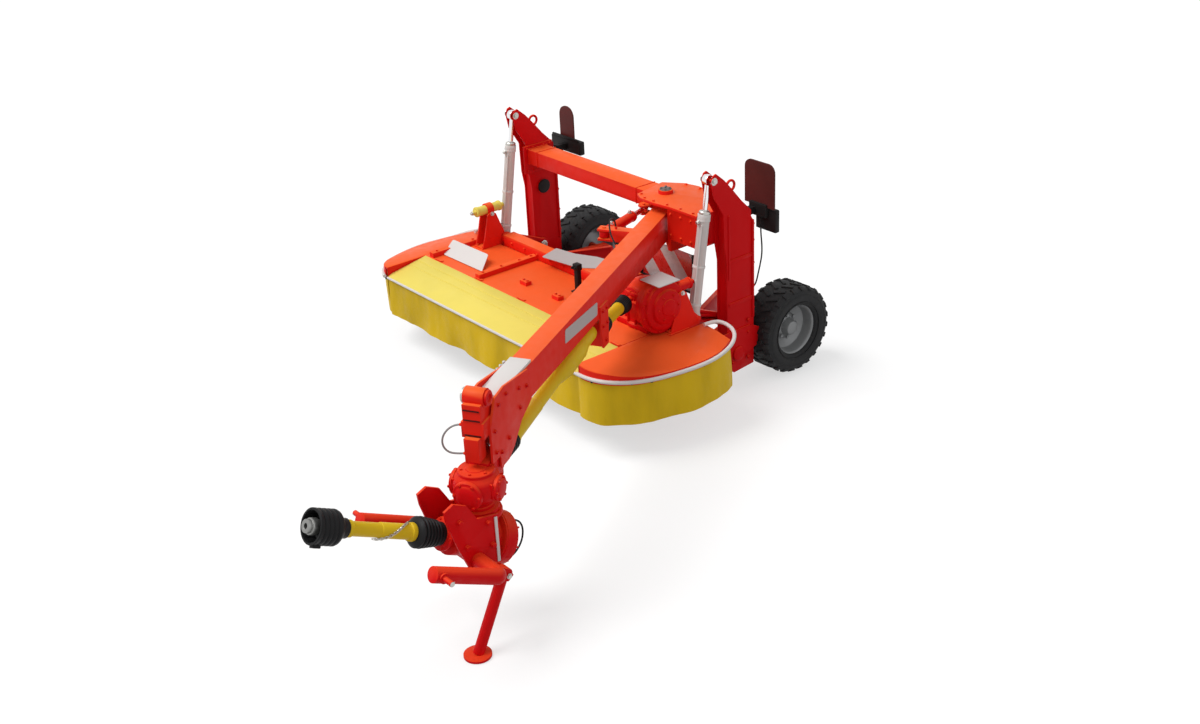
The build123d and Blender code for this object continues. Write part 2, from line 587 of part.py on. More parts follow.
# Swing cylinder: barrel on the drawbar, rod to the beam
with BuildPart() as swing_barrel:
    rod(barrel_eye + cylinder_dir * 72, barrel_eye + cylinder_dir * (cylinder_len - 190), 42)
    rod(barrel_eye + cylinder_dir * 30, barrel_eye + cylinder_dir * 72, 24)
    rod(barrel_eye - Vector(0, 0, 24), barrel_eye + Vector(0, 0, 24), 40)
    rod(barrel_eye + cylinder_dir * 90, barrel_eye + cylinder_dir * (cylinder_len - 180), 22.05, Mode.SUBTRACT)
    rod(barrel_eye - Vector(0, 0, 26), barrel_eye + Vector(0, 0, 26), 16, Mode.SUBTRACT)
with BuildPart() as swing_rod:
    rod(barrel_eye + cylinder_dir * 215, rod_eye - cylinder_dir * 20, 22)
    rod(rod_eye - Vector(0, 0, 20), rod_eye + Vector(0, 0, 20), 38)
    rod(rod_eye - Vector(0, 0, 22), rod_eye + Vector(0, 0, 22), 28, Mode.SUBTRACT)

nose_hose = hose(nose_hose_route)
cylinder_hose = hose(cylinder_hose_route)

# Short link shaft from the bearing bracket to the main gearbox
link_front = Vector(*on_drawbar(1690, 0, 1100))
link_rear = Vector(gearbox_x, link_y, input_high)
link_dir = (link_rear - link_front).normalized()
link_len = (link_rear - link_front).length
with BuildPart() as link_yoke:
    # Ball of the universal joint
    with Locations(link_rear):
        Sphere(26)
with BuildPart() as link_shaft:
    rod(link_rear - link_dir * 26.3, link_rear - link_dir * 70, 20)
    rod(link_rear - link_dir * 60, link_rear - link_dir * 190, 80, end_radius=66)
    rod(link_rear - link_dir * 190, link_rear - link_dir * (link_len - 210), 48)
    rod(link_rear - link_dir * 200, link_rear - link_dir * (link_len - 200), 31.05, Mode.SUBTRACT)
with BuildPart() as link_slide:
    rod(link_rear - link_dir * 215, link_rear - link_dir * (link_len - 190), 31)
    rod(link_rear - link_dir * (link_len - 190), link_rear - link_dir * (link_len - 60), 66, end_radius=80)
    rod(link_rear - link_dir * (link_len - 60), link_rear - link_dir * (link_len - 34), 28)

# Headstock, pitched nose up

x_mid = swivel.X
shaft_in = Vector(x_mid, swivel.Y - input_ahead, input_z)
cross = Vector(x_mid, swivel.Y - cross_ahead, cross_z)
stand_top = Vector(x_mid + stand_aside, swivel.Y - stand_ahead, stand_z)
stand_foot = stand_top + Vector(-7, -244, -stand_z)


def behind(points):
    """Outline points given by their distance behind the swivel."""
    return [(swivel.Y + y, z) for y, z in points]


with BuildPart() as lower_gearbox:
    # Casting on the input shaft's line with its round rear cover
    rod(shaft_in, shaft_in - nose * 90, 84)
    rod(shaft_in - nose * 70, shaft_in - nose * 420, 132)
    rod(shaft_in - nose * 400, shaft_in - nose * 500, 178)
    rod(shaft_in - nose * 500, shaft_in - nose * 530, 120)
    # Neck up to the swivel
    rod((x_mid, swivel.Y, 640), (x_mid, swivel.Y, 851), 108)
    rod((x_mid, swivel.Y, 800), (x_mid, swivel.Y, 852), 128)
    rod((x_mid, swivel.Y, 850), (x_mid, swivel.Y, 920), 60)
    # Bolted side plates that carry the yoke
    for x0 in (x_mid - 158, x_mid + 138):
        side_plate(x0, x0 + 20, behind((
            (-360, 1010), (-290, 1040), (-195, 990), (-125, 866), (30, 840),
            (30, 490), (-90, 480), (-200, 500), (-280, 700), (-350, 930))))
        for y, z in behind(((-260, 900), (-220, 700), (-50, 810), (-30, 640))):
            lo = x0 - 12 if x0 < x_mid else x0 + 20
            rod((lo, y, z), (lo + 12, y, z), 19)
    # Ends of the free hose behind the rear cover
    hose_end(headstock_hose_route[0], headstock_hose_route[1])
    hose_end(headstock_hose_route[-1], headstock_hose_route[-2])
    # Seat of the cross tube
    rod((x_mid - 300, cross.Y, cross.Z), (x_mid + 300, cross.Y, cross.Z), arm_r, Mode.SUBTRACT)
with BuildPart() as yoke:
    # One bent tube: the cross tube and the two arms for the tractor's lower links
    ends = (x_mid - arm_gap / 2, x_mid + arm_gap / 2)
    rod((ends[0] + 60, cross.Y, cross.Z), (ends[1] - 60, cross.Y, cross.Z), arm_r)
    for x, side in ((ends[0], -1), (ends[1], 1)):
        base = Vector(x, cross.Y, cross.Z)
        rod(base + nose * 60, base + nose * arm_len, arm_r)
        # Bend of the tube
        with BuildSketch(Plane(origin=base + nose * 60 , x_dir=(-side, 0, 0), z_dir=nose)) as ring:
            Circle(arm_r)
        hinge = base + nose * 60 + Vector(-side * 60, 0, 0)
        turn_axis = Vector(0, 0, 1).cross(nose)
        revolve(ring.sketch, axis=Axis(hinge, nose.cross(Vector(side, 0, 0)).normalized()), revolution_arc=90)
        # Pin for the lower link
        tip = base + nose * (arm_len - 50)
        rod(tip + Vector(side * 40, 0, 0), tip + Vector(side * 138, 0, 0), 18.25)
        rod(tip + Vector(side * 48, 0, 0), tip + Vector(side * 60, 0, 0), 34)
    # Lugs of the stand
    for x0 in (stand_top.X - 53, stand_top.X + 39):
        side_plate(x0, x0 + 14, behind(((-160, 540), (-130, 610), (-50, 560), (-30, 510), (-70, 480),
                                        (-120, 500))))
    rod(stand_top - Vector(69, 0, 0), stand_top + Vector(71, 0, 0), 14.05, Mode.SUBTRACT)

# Parking stand
with BuildPart() as stand:
    leg = (stand_foot - stand_top).normalized()
    rod(stand_top, stand_foot - leg * 14, 37)
    rod(stand_top - Vector(37, 0, 0), stand_top + Vector(37, 0, 0), 42)
    rod(stand_top - Vector(63, 0, 0), stand_top + Vector(63, 0, 0), 14)
    rod((stand_foot.X, stand_foot.Y, 0), (stand_foot.X, stand_foot.Y, 16), 92)

# Drive shaft to the tractor in its guard
with BuildPart() as pto_guard:
    rod(shaft_in + nose * 215, shaft_in + nose * 715, 48)
with BuildPart() as pto_bellows:
    rod(shaft_in, shaft_in + nose * 80, 76)
    rod(shaft_in + nose * 80, shaft_in + nose * 215, 104)
with BuildPart() as pto_joint:
    rod(shaft_in + nose * 715, shaft_in + nose * 790, 62)
    rod(shaft_in + nose * 790, shaft_in + nose * 960, 112)
    rod(shaft_in + nose * 860, shaft_in + nose * 961, 94, Mode.SUBTRACT)
    rod(shaft_in + nose * 850, shaft_in + nose * 1000, 42)
    rod(shaft_in + nose * 850, shaft_in + nose * 1001, 17.5, Mode.SUBTRACT)

headstock_hose = hose(headstock_hose_route)
lamp_cable = hose(lamp_cable_route)

pieces = {
    **{n: p.part for n, p in uprights.items()},
    "nose_hose": nose_hose.part,
    "cylinder_hose": cylinder_hose.part,
    "headstock_hose": headstock_hose.part,
    "lamp_cable": lamp_cable.part,
    "portal_beam": portal_beam.part,
    **{n: p.part for n, p in lift_rods.items()},
    **{n: p.part for n, p in lamps.items()},
    **wheels,
    "deck": deck.part,
    "conditioner_housing": conditioner_housing.part,
    "cutter_bar": cutter_bar.part,
    "rotor": rotor.part,
    "front_cover": front_cover.part,
    "front_curtain": front_curtain.part,
    **{n: p.part for n, p in end_covers.items()},
    **{n: p.part for n, p in curtains.items()},
    "main_gearbox": main_gearbox.part,
    "rotor_drive": rotor_drive.part,
    **{n: p.part for n, p in springs.items()},
    **{n: p.part for n, p in lift_barrels.items()},
    "warning_board": warning_board.part,
    **{n: p.part for n, p in swath_boards.items()},
    **{n: p.part for n, p in lower_links.items()},
    "drawbar": drawbar.part,
    "drawbar_cover": drawbar_cover.part,
    "upper_gearbox": upper_gearbox.part,
    "drive_guard": drive_guard.part,
    "drive_boot": drive_boot.part,
    "swing_barrel": swing_barrel.part,
    "swing_rod": swing_rod.part,
    "link_yoke": link_yoke.part,
    "link_shaft": link_shaft.part,
    "link_slide": link_slide.part,
    "lower_gearbox": lower_gearbox.part,
    "yoke": yoke.part,
    "stand": stand.part,
    "pto_guard": pto_guard.part,
    "pto_bellows": pto_bellows.part,
    "pto_joint": pto_joint.part,
    **dict(discs),
}

os.makedirs("parts", exist_ok=True)
for name, shape in pieces.items():
    shape = shape.moved(Location((-outline_x, -outline_y, 0)))
    shape.label = name
    export_step(shape, f"parts/{name}.step")
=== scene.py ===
# %% [markdown]
# # A trailed disc mower conditioner, dressed for its portrait
# The CAD model already holds every plate, tube and joint at its real size. This lesson gives each of
# them a finish, and models the pieces that plain CAD leaves simple: the tyres, the cloth curtains,
# the ribbed boots of the drive shafts, the bolts and the hoses. Every length is in metres, and every
# new piece is made where it stands, so that it rides on its body without being moved.

# %% Load the frame
import bmesh
import bpy
import json
from math import cos, pi, radians, sin, tau
from mathutils import Matrix, Vector, noise


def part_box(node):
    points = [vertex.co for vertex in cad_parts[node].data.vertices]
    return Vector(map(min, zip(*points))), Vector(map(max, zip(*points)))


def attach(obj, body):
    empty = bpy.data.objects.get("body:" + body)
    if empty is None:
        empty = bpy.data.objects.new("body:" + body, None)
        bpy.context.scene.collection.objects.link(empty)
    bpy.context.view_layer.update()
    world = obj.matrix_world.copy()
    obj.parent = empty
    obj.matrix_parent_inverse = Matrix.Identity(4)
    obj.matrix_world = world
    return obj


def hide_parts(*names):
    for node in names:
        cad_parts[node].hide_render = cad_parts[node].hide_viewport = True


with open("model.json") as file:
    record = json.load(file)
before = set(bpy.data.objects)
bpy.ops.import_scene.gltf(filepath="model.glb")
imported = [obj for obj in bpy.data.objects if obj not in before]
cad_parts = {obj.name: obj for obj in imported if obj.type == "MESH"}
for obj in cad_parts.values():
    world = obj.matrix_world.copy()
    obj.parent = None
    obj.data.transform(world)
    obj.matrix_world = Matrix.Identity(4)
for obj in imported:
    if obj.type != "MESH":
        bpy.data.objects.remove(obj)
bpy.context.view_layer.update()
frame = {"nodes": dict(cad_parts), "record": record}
nodes = frame["nodes"]

# %% [markdown]
# ## Where things are
# The machine is easiest to think about from the point on the ground midway between its wheels, while
# the frame's origin lies under the middle of the whole outline. One small function turns the first
# into the second. X runs to the machine's left, Y to its rear and Z up. The drawbar hangs on a pivot
# and points YAW to the left of straight ahead, and the hitch turns about the swivel at its end. From
# there the drive shaft leaves for the tractor, along NOSE.

# %% Places
OUTLINE_X, OUTLINE_Y = 0.610, -2.438


def spot(x, y, z):
    """A point given from the ground midway between the wheels."""
    return Vector((x - OUTLINE_X, y - OUTLINE_Y, z))


def middle(node):
    """The middle of a node's box."""
    low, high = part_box(node)
    return (low + high) / 2


DRAWBAR_LENGTH = 3.861
YAW, PITCH = radians(30.1), radians(26.5)
AHEAD = Vector((sin(YAW), -cos(YAW), 0))
ASIDE = Vector((cos(YAW), sin(YAW), 0))
NOSE = Vector((0, -cos(PITCH), sin(PITCH)))
PIVOT = spot(0.620, -0.700, 0)


def on_drawbar(along, side, z):
    """A point by its distance along the drawbar, its distance to the left and its height."""
    return PIVOT + AHEAD * along + ASIDE * side + Vector((0, 0, z))


SWIVEL = on_drawbar(DRAWBAR_LENGTH, 0, 0)
SHAFT_AHEAD, SHAFT_Z = 0.311, 0.770
SHAFT = Vector((SWIVEL.x, SWIVEL.y - SHAFT_AHEAD, SHAFT_Z))

# %% [markdown]
# ## Finishes
# A real machine has few paints, but none of them is one flat colour. Each finish here is a small
# network of nodes: a broad noise shifts the colour a little, a finer one breaks up the gloss, and a
# third gives the faint orange peel of sprayed paint as a bump. All of them read Object coordinates,
# so the pattern stays on the metal when a joint moves.

# %% A finish made of nodes


def new_finish(name, metallic=0.0, coat=0.0):
    """A material with its shader and an Object coordinate ready to use."""
    finish = bpy.data.materials.new(name)
    finish.use_nodes = True
    tree = finish.node_tree
    shader = tree.nodes["Principled BSDF"]
    shader.inputs["Metallic"].default_value = metallic
    shader.inputs["Coat Weight"].default_value = coat
    where = tree.nodes.new("ShaderNodeTexCoord").outputs["Object"]
    return finish, tree, shader, where


def add_noise(tree, where, scale, detail=4.0, stretch=None):
    """A noise pattern, stretched along an axis if asked."""
    if stretch:
        shaping = tree.nodes.new("ShaderNodeMapping")
        shaping.inputs["Scale"].default_value = stretch
        tree.links.new(where, shaping.inputs["Vector"])
        where = shaping.outputs["Vector"]
    pattern = tree.nodes.new("ShaderNodeTexNoise")
    pattern.inputs["Scale"].default_value = scale
    pattern.inputs["Detail"].default_value = detail
    tree.links.new(where, pattern.inputs["Vector"])
    return pattern.outputs["Fac"]


def add_ramp(tree, value, stops):
    """Colours spread over a value, as (position, colour) stops."""
    ramp = tree.nodes.new("ShaderNodeValToRGB")
    while len(ramp.color_ramp.elements) < len(stops):
        ramp.color_ramp.elements.new(0.5)
    for element, (position, colour) in zip(ramp.color_ramp.elements, stops):
        element.position = position
        element.color = (*colour, 1.0)
    tree.links.new(value, ramp.inputs["Fac"])
    return ramp.outputs["Color"]


def add_range(tree, value, low, high, from_low=0.3, from_high=0.7):
    """A value moved to a new range."""
    span = tree.nodes.new("ShaderNodeMapRange")
    span.inputs["From Min"].default_value = from_low
    span.inputs["From Max"].default_value = from_high
    span.inputs["To Min"].default_value = low
    span.inputs["To Max"].default_value = high
    tree.links.new(value, span.inputs["Value"])
    return span.outputs["Result"]


def add_bump(tree, shader, height, strength, distance):
    """A bump on the shader from a height pattern."""
    bump = tree.nodes.new("ShaderNodeBump")
    bump.inputs["Strength"].default_value = strength
    bump.inputs["Distance"].default_value = distance
    tree.links.new(height, bump.inputs["Height"])
    tree.links.new(bump.outputs["Normal"], shader.inputs["Normal"])


def shade(colour, factor):
    """The same colour, darker or lighter."""
    return tuple(min(1.0, c * factor) for c in colour)


def facing_up(tree, low=0.30, high=0.85):
    """How far the surface looks up, from 0 to 1, in the piece's own axes."""
    normal = tree.nodes.new("ShaderNodeTexCoord").outputs["Normal"]
    split = tree.nodes.new("ShaderNodeSeparateXYZ")
    tree.links.new(normal, split.inputs["Vector"])
    return add_range(tree, split.outputs["Z"], 0.0, 1.0, low, high)


def add_mix(tree, factor, first, second):
    """One colour turning into another."""
    mix = tree.nodes.new("ShaderNodeMix")
    mix.data_type = "RGBA"
    tree.links.new(factor, mix.inputs["Factor"])
    tree.links.new(first, mix.inputs["A"])
    tree.links.new(second, mix.inputs["B"])
    return mix.outputs["Result"]


PAINT_SPECULAR = 0.10
BROAD_SCALE, GLOSS_SCALE, PEEL_SCALE = 2.2, 14.0, 150.0
PEEL_STRENGTH, PEEL_DEPTH = 0.05, 0.0008


def paint(name, colour, rough=(0.40, 0.54), vary=0.05, metallic=0.0, top_light=None, grain=PEEL_SCALE):
    """Sprayed paint: a broad shift of colour, uneven gloss and faint orange peel. It may get a painted
    highlight on top.
    """
    finish, tree, shader, where = new_finish(name, metallic)
    shader.inputs["Specular IOR Level"].default_value = PAINT_SPECULAR
    broad = add_noise(tree, where, BROAD_SCALE, 3.0)
    colours = add_ramp(tree, broad, [(0.30, shade(colour, 1 - vary)), (0.52, colour),
                                     (0.75, shade(colour, 1 + vary))])
    # Painted highlight: faces that look up turn towards a lighter, more orange colour, as under top light.
    if top_light:
        top_light_colours = add_ramp(tree, broad, [(0.30, shade(top_light, 1 - vary)), (0.75, top_light)])
        colours = add_mix(tree, facing_up(tree), colours, top_light_colours)
    tree.links.new(colours, shader.inputs["Base Color"])
    gloss = add_range(tree, add_noise(tree, where, GLOSS_SCALE, 6.0), *rough)
    tree.links.new(gloss, shader.inputs["Roughness"])
    add_bump(tree, shader, add_noise(tree, where, grain, 2.0), PEEL_STRENGTH, PEEL_DEPTH)
    return finish


# %% [markdown]
# ## The finishes of this machine
# Signal red on the frame and a slightly warmer red on the beam and the sheets. A painted highlight
# turns both towards orange on the faces that look up, and a shader finds those faces from the normal.
# The cover is lemon yellow, the cylinders and trims are white, and everything moulded is black. The
# tarpaulin has a woven bump from two crossed waves, the rubber a fine grain, and the striped board
# reads its own height and width to tell red from white.

# %% Paints, metals and plastics
# The second colour of each red is a painted top highlight, lighter and more orange on faces that look up.
red_paint = paint("red_paint", (0.66, 0.003, 0.005), top_light=(0.80, 0.050, 0.014))
orange_paint = paint("orange_paint", (0.80, 0.018, 0.008), top_light=(0.90, 0.118, 0.024))
yellow_sheet = paint("yellow_sheet", (0.80, 0.66, 0.13), rough=(0.45, 0.58))
white_paint = paint("white_paint", (0.70, 0.665, 0.645), rough=(0.32, 0.45), vary=0.03)
grey_rim = paint("grey_rim", (0.27, 0.275, 0.28), rough=(0.36, 0.50), vary=0.06, metallic=0.3)
black_part = paint("black_part", (0.016, 0.014, 0.014), rough=(0.38, 0.52), vary=0.2)
grey_metal = paint("grey_metal", (0.30, 0.30, 0.29), rough=(0.30, 0.48), vary=0.15, metallic=0.8)
zinc = paint("zinc", (0.50, 0.49, 0.46), rough=(0.26, 0.40), vary=0.12, metallic=0.9)
chrome_rod = paint("chrome_rod", (0.82, 0.82, 0.83), rough=(0.08, 0.16), vary=0.03, metallic=1.0)
guard_black = paint("guard_black", (0.014, 0.014, 0.015), rough=(0.36, 0.52), vary=0.25, grain=420.0)
guard_yellow = paint("guard_yellow", (0.72, 0.48, 0.015), rough=(0.36, 0.48), vary=0.06, grain=420.0)
brown_marker = paint("brown_marker", (0.105, 0.022, 0.020), rough=(0.30, 0.45), vary=0.3)
dark_slot = paint("dark_slot", (0.05, 0.008, 0.008), rough=(0.5, 0.6))
blank_grey = paint("blank_grey", (0.46, 0.43, 0.42), rough=(0.30, 0.42), vary=0.04)
dull_metal = paint("dull_metal", (0.20, 0.17, 0.16), rough=(0.40, 0.56), vary=0.18, metallic=0.5)
pale_hose = paint("pale_hose", (0.30, 0.29, 0.29), rough=(0.40, 0.55), vary=0.12, grain=600.0)
hose_rubber = paint("hose_rubber", (0.020, 0.018, 0.018), rough=(0.45, 0.60), vary=0.2, grain=600.0)


def rubber():
    """Tyre rubber: near black, with dusty flecks and a fine grain."""
    finish, tree, shader, where = new_finish("tyre_rubber")
    shader.inputs["Specular IOR Level"].default_value = 0.3
    flecks = add_noise(tree, where, 22.0, 8.0)
    colours = add_ramp(tree, flecks, [(0.35, (0.007, 0.007, 0.008)), (0.55, (0.014, 0.014, 0.015)),
                                      (0.80, (0.042, 0.040, 0.037))])
    tree.links.new(colours, shader.inputs["Base Color"])
    tree.links.new(add_range(tree, flecks, 0.62, 0.86), shader.inputs["Roughness"])
    add_bump(tree, shader, add_noise(tree, where, 260.0, 4.0), 0.25, 0.0012)
    return finish


def tarpaulin(name, colour):
    """Coated cloth: two crossed waves for the weave under a satin coat, with painted shade and light in
    upright streaks like folds.
    """
    finish, tree, shader, where = new_finish(name)
    shader.inputs["Sheen Weight"].default_value = 0.03
    shader.inputs["Specular IOR Level"].default_value = 0.15
    # Painted shade: stretched noise darkens and lightens the cloth in upright streaks, as shade and light
    # on folds.
    crease_shade = add_noise(tree, where, 5.0, 6.0, stretch=(1.0, 1.0, 0.25))
    colours = add_ramp(tree, crease_shade, [(0.28, shade(colour, 0.84)), (0.50, colour),
                                       (0.78, shade(colour, 1.08))])
    tree.links.new(colours, shader.inputs["Base Color"])
    tree.links.new(add_range(tree, add_noise(tree, where, 30.0), 0.42, 0.62), shader.inputs["Roughness"])
    threads = []
    for direction in ("X", "Z"):
        wave = tree.nodes.new("ShaderNodeTexWave")
        wave.bands_direction = direction
        wave.inputs["Scale"].default_value = 140.0
        wave.inputs["Distortion"].default_value = 0.4
        tree.links.new(where, wave.inputs["Vector"])
        threads.append(wave.outputs["Fac"])
    weave = tree.nodes.new("ShaderNodeMath")
    weave.operation = "MAXIMUM"
    for thread, socket in zip(threads, weave.inputs):
        tree.links.new(thread, socket)
    add_bump(tree, shader, weave.outputs[0], 0.25, 0.0008)
    return finish


def striped(name, light, dark, width, lean):
    """Slanting stripes of two colours, over a board that stands across the machine."""
    finish, tree, shader, where = new_finish(name, coat=0.3)
    split = tree.nodes.new("ShaderNodeSeparateXYZ")
    tree.links.new(where, split.inputs["Vector"])
    tilt = tree.nodes.new("ShaderNodeMath")
    tilt.operation = "MULTIPLY_ADD"
    tree.links.new(split.outputs["Z"], tilt.inputs[0])
    tilt.inputs[1].default_value = lean
    tree.links.new(split.outputs["X"], tilt.inputs[2])
    repeat = tree.nodes.new("ShaderNodeMath")
    repeat.operation = "PINGPONG"
    tree.links.new(tilt.outputs[0], repeat.inputs[0])
    repeat.inputs[1].default_value = width
    edge = tree.nodes.new("ShaderNodeMath")
    edge.operation = "GREATER_THAN"
    tree.links.new(repeat.outputs[0], edge.inputs[0])
    edge.inputs[1].default_value = width / 2
    colours = add_ramp(tree, edge.outputs[0], [(0.0, dark), (1.0, light)])
    tree.links.new(colours, shader.inputs["Base Color"])
    tree.links.new(add_range(tree, add_noise(tree, where, 20.0), 0.22, 0.36), shader.inputs["Roughness"])
    return finish


tyre_rubber = rubber()
yellow_cloth = tarpaulin("yellow_cloth", (0.72, 0.47, 0.006))
# Both stripe colours carry painted shade: the white is grey and the red dark, as on a board in shadow.
striped_board = striped("striped_board", (0.48, 0.46, 0.45), (0.56, 0.020, 0.016), 0.20, 0.9)


def lens(name, colour):
    """Ribbed lamp glass over a bright backing."""
    finish, tree, shader, where = new_finish(name, coat=0.8)
    ribs = tree.nodes.new("ShaderNodeTexWave")
    ribs.inputs["Scale"].default_value = 60.0
    tree.links.new(where, ribs.inputs["Vector"])
    colours = add_ramp(tree, ribs.outputs["Fac"], [(0.0, shade(colour, 0.6)), (1.0, colour)])
    tree.links.new(colours, shader.inputs["Base Color"])
    shader.inputs["Roughness"].default_value = 0.12
    add_bump(tree, shader, ribs.outputs["Fac"], 0.5, 0.001)
    return finish


red_lens = lens("red_lens", (0.42, 0.012, 0.010))
amber_lens = lens("amber_lens", (0.70, 0.16, 0.01))
print("finishes:", len(bpy.data.materials))

# %% [markdown]
# ## Dress the CAD nodes
# Most of the machine is welded plate, and its CAD shape is right. Each node gets the finish that its
# record names, apart from two that take another of the paints. Sheared and folded steel never has a
# knife edge, so a Weld modifier joins the loose triangles, a small Bevel rounds every sharp edge, and
# the light catches it as it does on the real thing.

# %% Finish and round every node
finish_of_slot = {
    "red_paint": red_paint, "orange_paint": orange_paint, "yellow_sheet": yellow_sheet,
    "yellow_cloth": yellow_cloth, "tyre": tyre_rubber, "rim": grey_rim, "white_paint": white_paint,
    "chrome_rod": chrome_rod, "black_part": black_part, "grey_metal": grey_metal,
    "guard_black": guard_black, "guard_yellow": guard_yellow, "striped_board": striped_board}
finish_of_node = {"relief_unit_left": red_paint, "drawbar": orange_paint}
slot_of = {s["node"]: s["material_slot"] for s in frame["record"]["subparts"]}
EDGE_ROUND = 0.0022
SHARP_ANGLE = 34
WELD = 2e-5

for name, node in nodes.items():
    node.data.materials.clear()
    node.data.materials.append(finish_of_node.get(name) or finish_of_slot[slot_of[name]])
    for face in node.data.polygons:
        face.use_smooth = True
    weld = node.modifiers.new("weld", "WELD")
    weld.merge_threshold = WELD
    edge = node.modifiers.new("rounded_edges", "BEVEL")
    edge.width = EDGE_ROUND
    edge.segments = 2
    edge.limit_method = "ANGLE"
    edge.angle_limit = radians(SHARP_ANGLE)
    edge.harden_normals = True
print("dressed nodes:", len(nodes))

# %% [markdown]
# ## Helpers for new pieces
# A piece is built in a bmesh. `add` moves a small part into it at a given place, `spin_round` turns
# a profile about an axis as a lathe does, and `finish_piece` closes the mesh, marks its sharp edges,
# gives it a finish and lets it ride on its body. This lesson has more finishes than the record has
# slots, and a table pairs each finish of its own with the nearest slot.

# %% Build, place and finish
slot_of_finish = {finish: slot for slot, finish in finish_of_slot.items()}
slot_of_finish.update({
    zinc: "grey_metal", dull_metal: "grey_metal", brown_marker: "black_part", dark_slot: "black_part",
    red_lens: "black_part", amber_lens: "black_part", hose_rubber: "black_part",
    pale_hose: "black_part", blank_grey: "white_paint"})
LEFT, REAR, UP = Vector((1, 0, 0)), Vector((0, 1, 0)), Vector((0, 0, 1))
SIDES = ((1, "left"), (-1, "right"))


def facing(origin, direction, up=UP):
    """A placement whose Z axis runs along a direction."""
    z = Vector(direction).normalized()
    side = up.cross(z)
    x = side.normalized() if side.length > 1e-4 else Vector((1, 0, 0))
    y = z.cross(x)
    return Matrix.Translation(origin) @ Matrix((x, y, z)).transposed().to_4x4()


def add(bm, part, place=Matrix.Identity(4)):
    """Moves one bmesh into another at a placement."""
    passing = bpy.data.meshes.new("passing")
    part.to_mesh(passing)
    part.free()
    passing.transform(place)
    bm.from_mesh(passing)
    bpy.data.meshes.remove(passing)


def spin_round(profile, steps=48):
    """A bmesh turned about Z from (radius, height) points."""
    bm = bmesh.new()
    verts = [bm.verts.new((r, 0, h)) for r, h in profile]
    edges = [bm.edges.new(pair) for pair in zip(verts, verts[1:])]
    bmesh.ops.spin(bm, geom=verts + edges, cent=(0, 0, 0), axis=(0, 0, 1), dvec=(0, 0, 0),
                   angle=tau, steps=steps, use_merge=True)
    bmesh.ops.remove_doubles(bm, verts=bm.verts, dist=1e-5)
    return bm


def block(size, round_edge):
    """A box about its middle, with its edges rounded."""
    bm = bmesh.new()
    bmesh.ops.create_cube(bm, size=1.0)
    bmesh.ops.scale(bm, vec=size, verts=bm.verts)
    bmesh.ops.bevel(bm, geom=bm.edges, offset=round_edge, offset_type="OFFSET", segments=2,
                    profile=0.5, affect="EDGES", material=-1)
    return bm


def add_block(bm, size, round_edge, centre, place=Matrix.Identity(4)):
    """Adds a box with its middle at a point of a placement."""
    add(bm, block(size, round_edge), place @ Matrix.Translation(centre))


def add_ribs(bm, place, count, size, round_edge, centre, turn=0.0):
    """Adds boxes evenly round the Z axis of a placement, the first turned by a share of a step."""
    for n in range(count):
        add_block(bm, size, round_edge, centre, place @ Matrix.Rotation(tau / count * (n + turn), 4, "Z"))


def round_corners(bm, edges, radius, segments):
    """Rounds the upright edges of a plate."""
    bmesh.ops.bevel(bm, geom=edges, offset=radius, offset_type="OFFSET", segments=segments,
                    profile=0.5, affect="EDGES", material=-1)


def slab(outline, thickness):
    """A flat plate in XY with its outline given as points, as thick as asked along Z."""
    bm = bmesh.new()
    face = bm.faces.new([bm.verts.new((x, y, 0)) for x, y in outline])
    made = bmesh.ops.extrude_face_region(bm, geom=[face])["geom"]
    moved = [v for v in made if isinstance(v, bmesh.types.BMVert)]
    bmesh.ops.translate(bm, verts=moved, vec=(0, 0, thickness))
    return bm


def finish_piece(bm, name, finish, body, node=None, sharp=SHARP_ANGLE):
    """Closes a bmesh and makes it a piece on a body. It may stand in for a CAD node."""
    bmesh.ops.remove_doubles(bm, verts=bm.verts, dist=1e-6)
    bmesh.ops.recalc_face_normals(bm, faces=bm.faces)
    for face in bm.faces:
        face.smooth = True
    for edge in bm.edges:
        edge.smooth = not (len(edge.link_faces) == 2 and edge.calc_face_angle(0.0) > radians(sharp))
    mesh = bpy.data.meshes.new(name)
    bm.to_mesh(mesh)
    bm.free()
    piece = bpy.data.objects.new(name, mesh)
    bpy.context.scene.collection.objects.link(piece)
    mesh.materials.append(finish)
    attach(piece, body)
    if node:
        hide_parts(node)
    print(name, "faces:", len(mesh.polygons))
    return piece


# %% [markdown]
# ## Tyres
# A flotation tyre has a rounded carcass, a shoulder, and rows of blocks that stagger from side to
# side. The carcass is spun from one profile. A lug is a box whose edges are bevelled, and it is set
# round the tread by a loop: leaning bars near the middle and short blocks on the shoulder.

# %% Carcass and lugs
TYRE_RADIUS, TYRE_HALF = 0.3875, 0.166
CROWN_RADIUS = 0.375
RIM_RADIUS = 0.215
LUGS = 24
WALL_RINGS = (0.250, 0.318)
BAR_LEAN, SHOULDER_SLOPE = radians(27), radians(30)


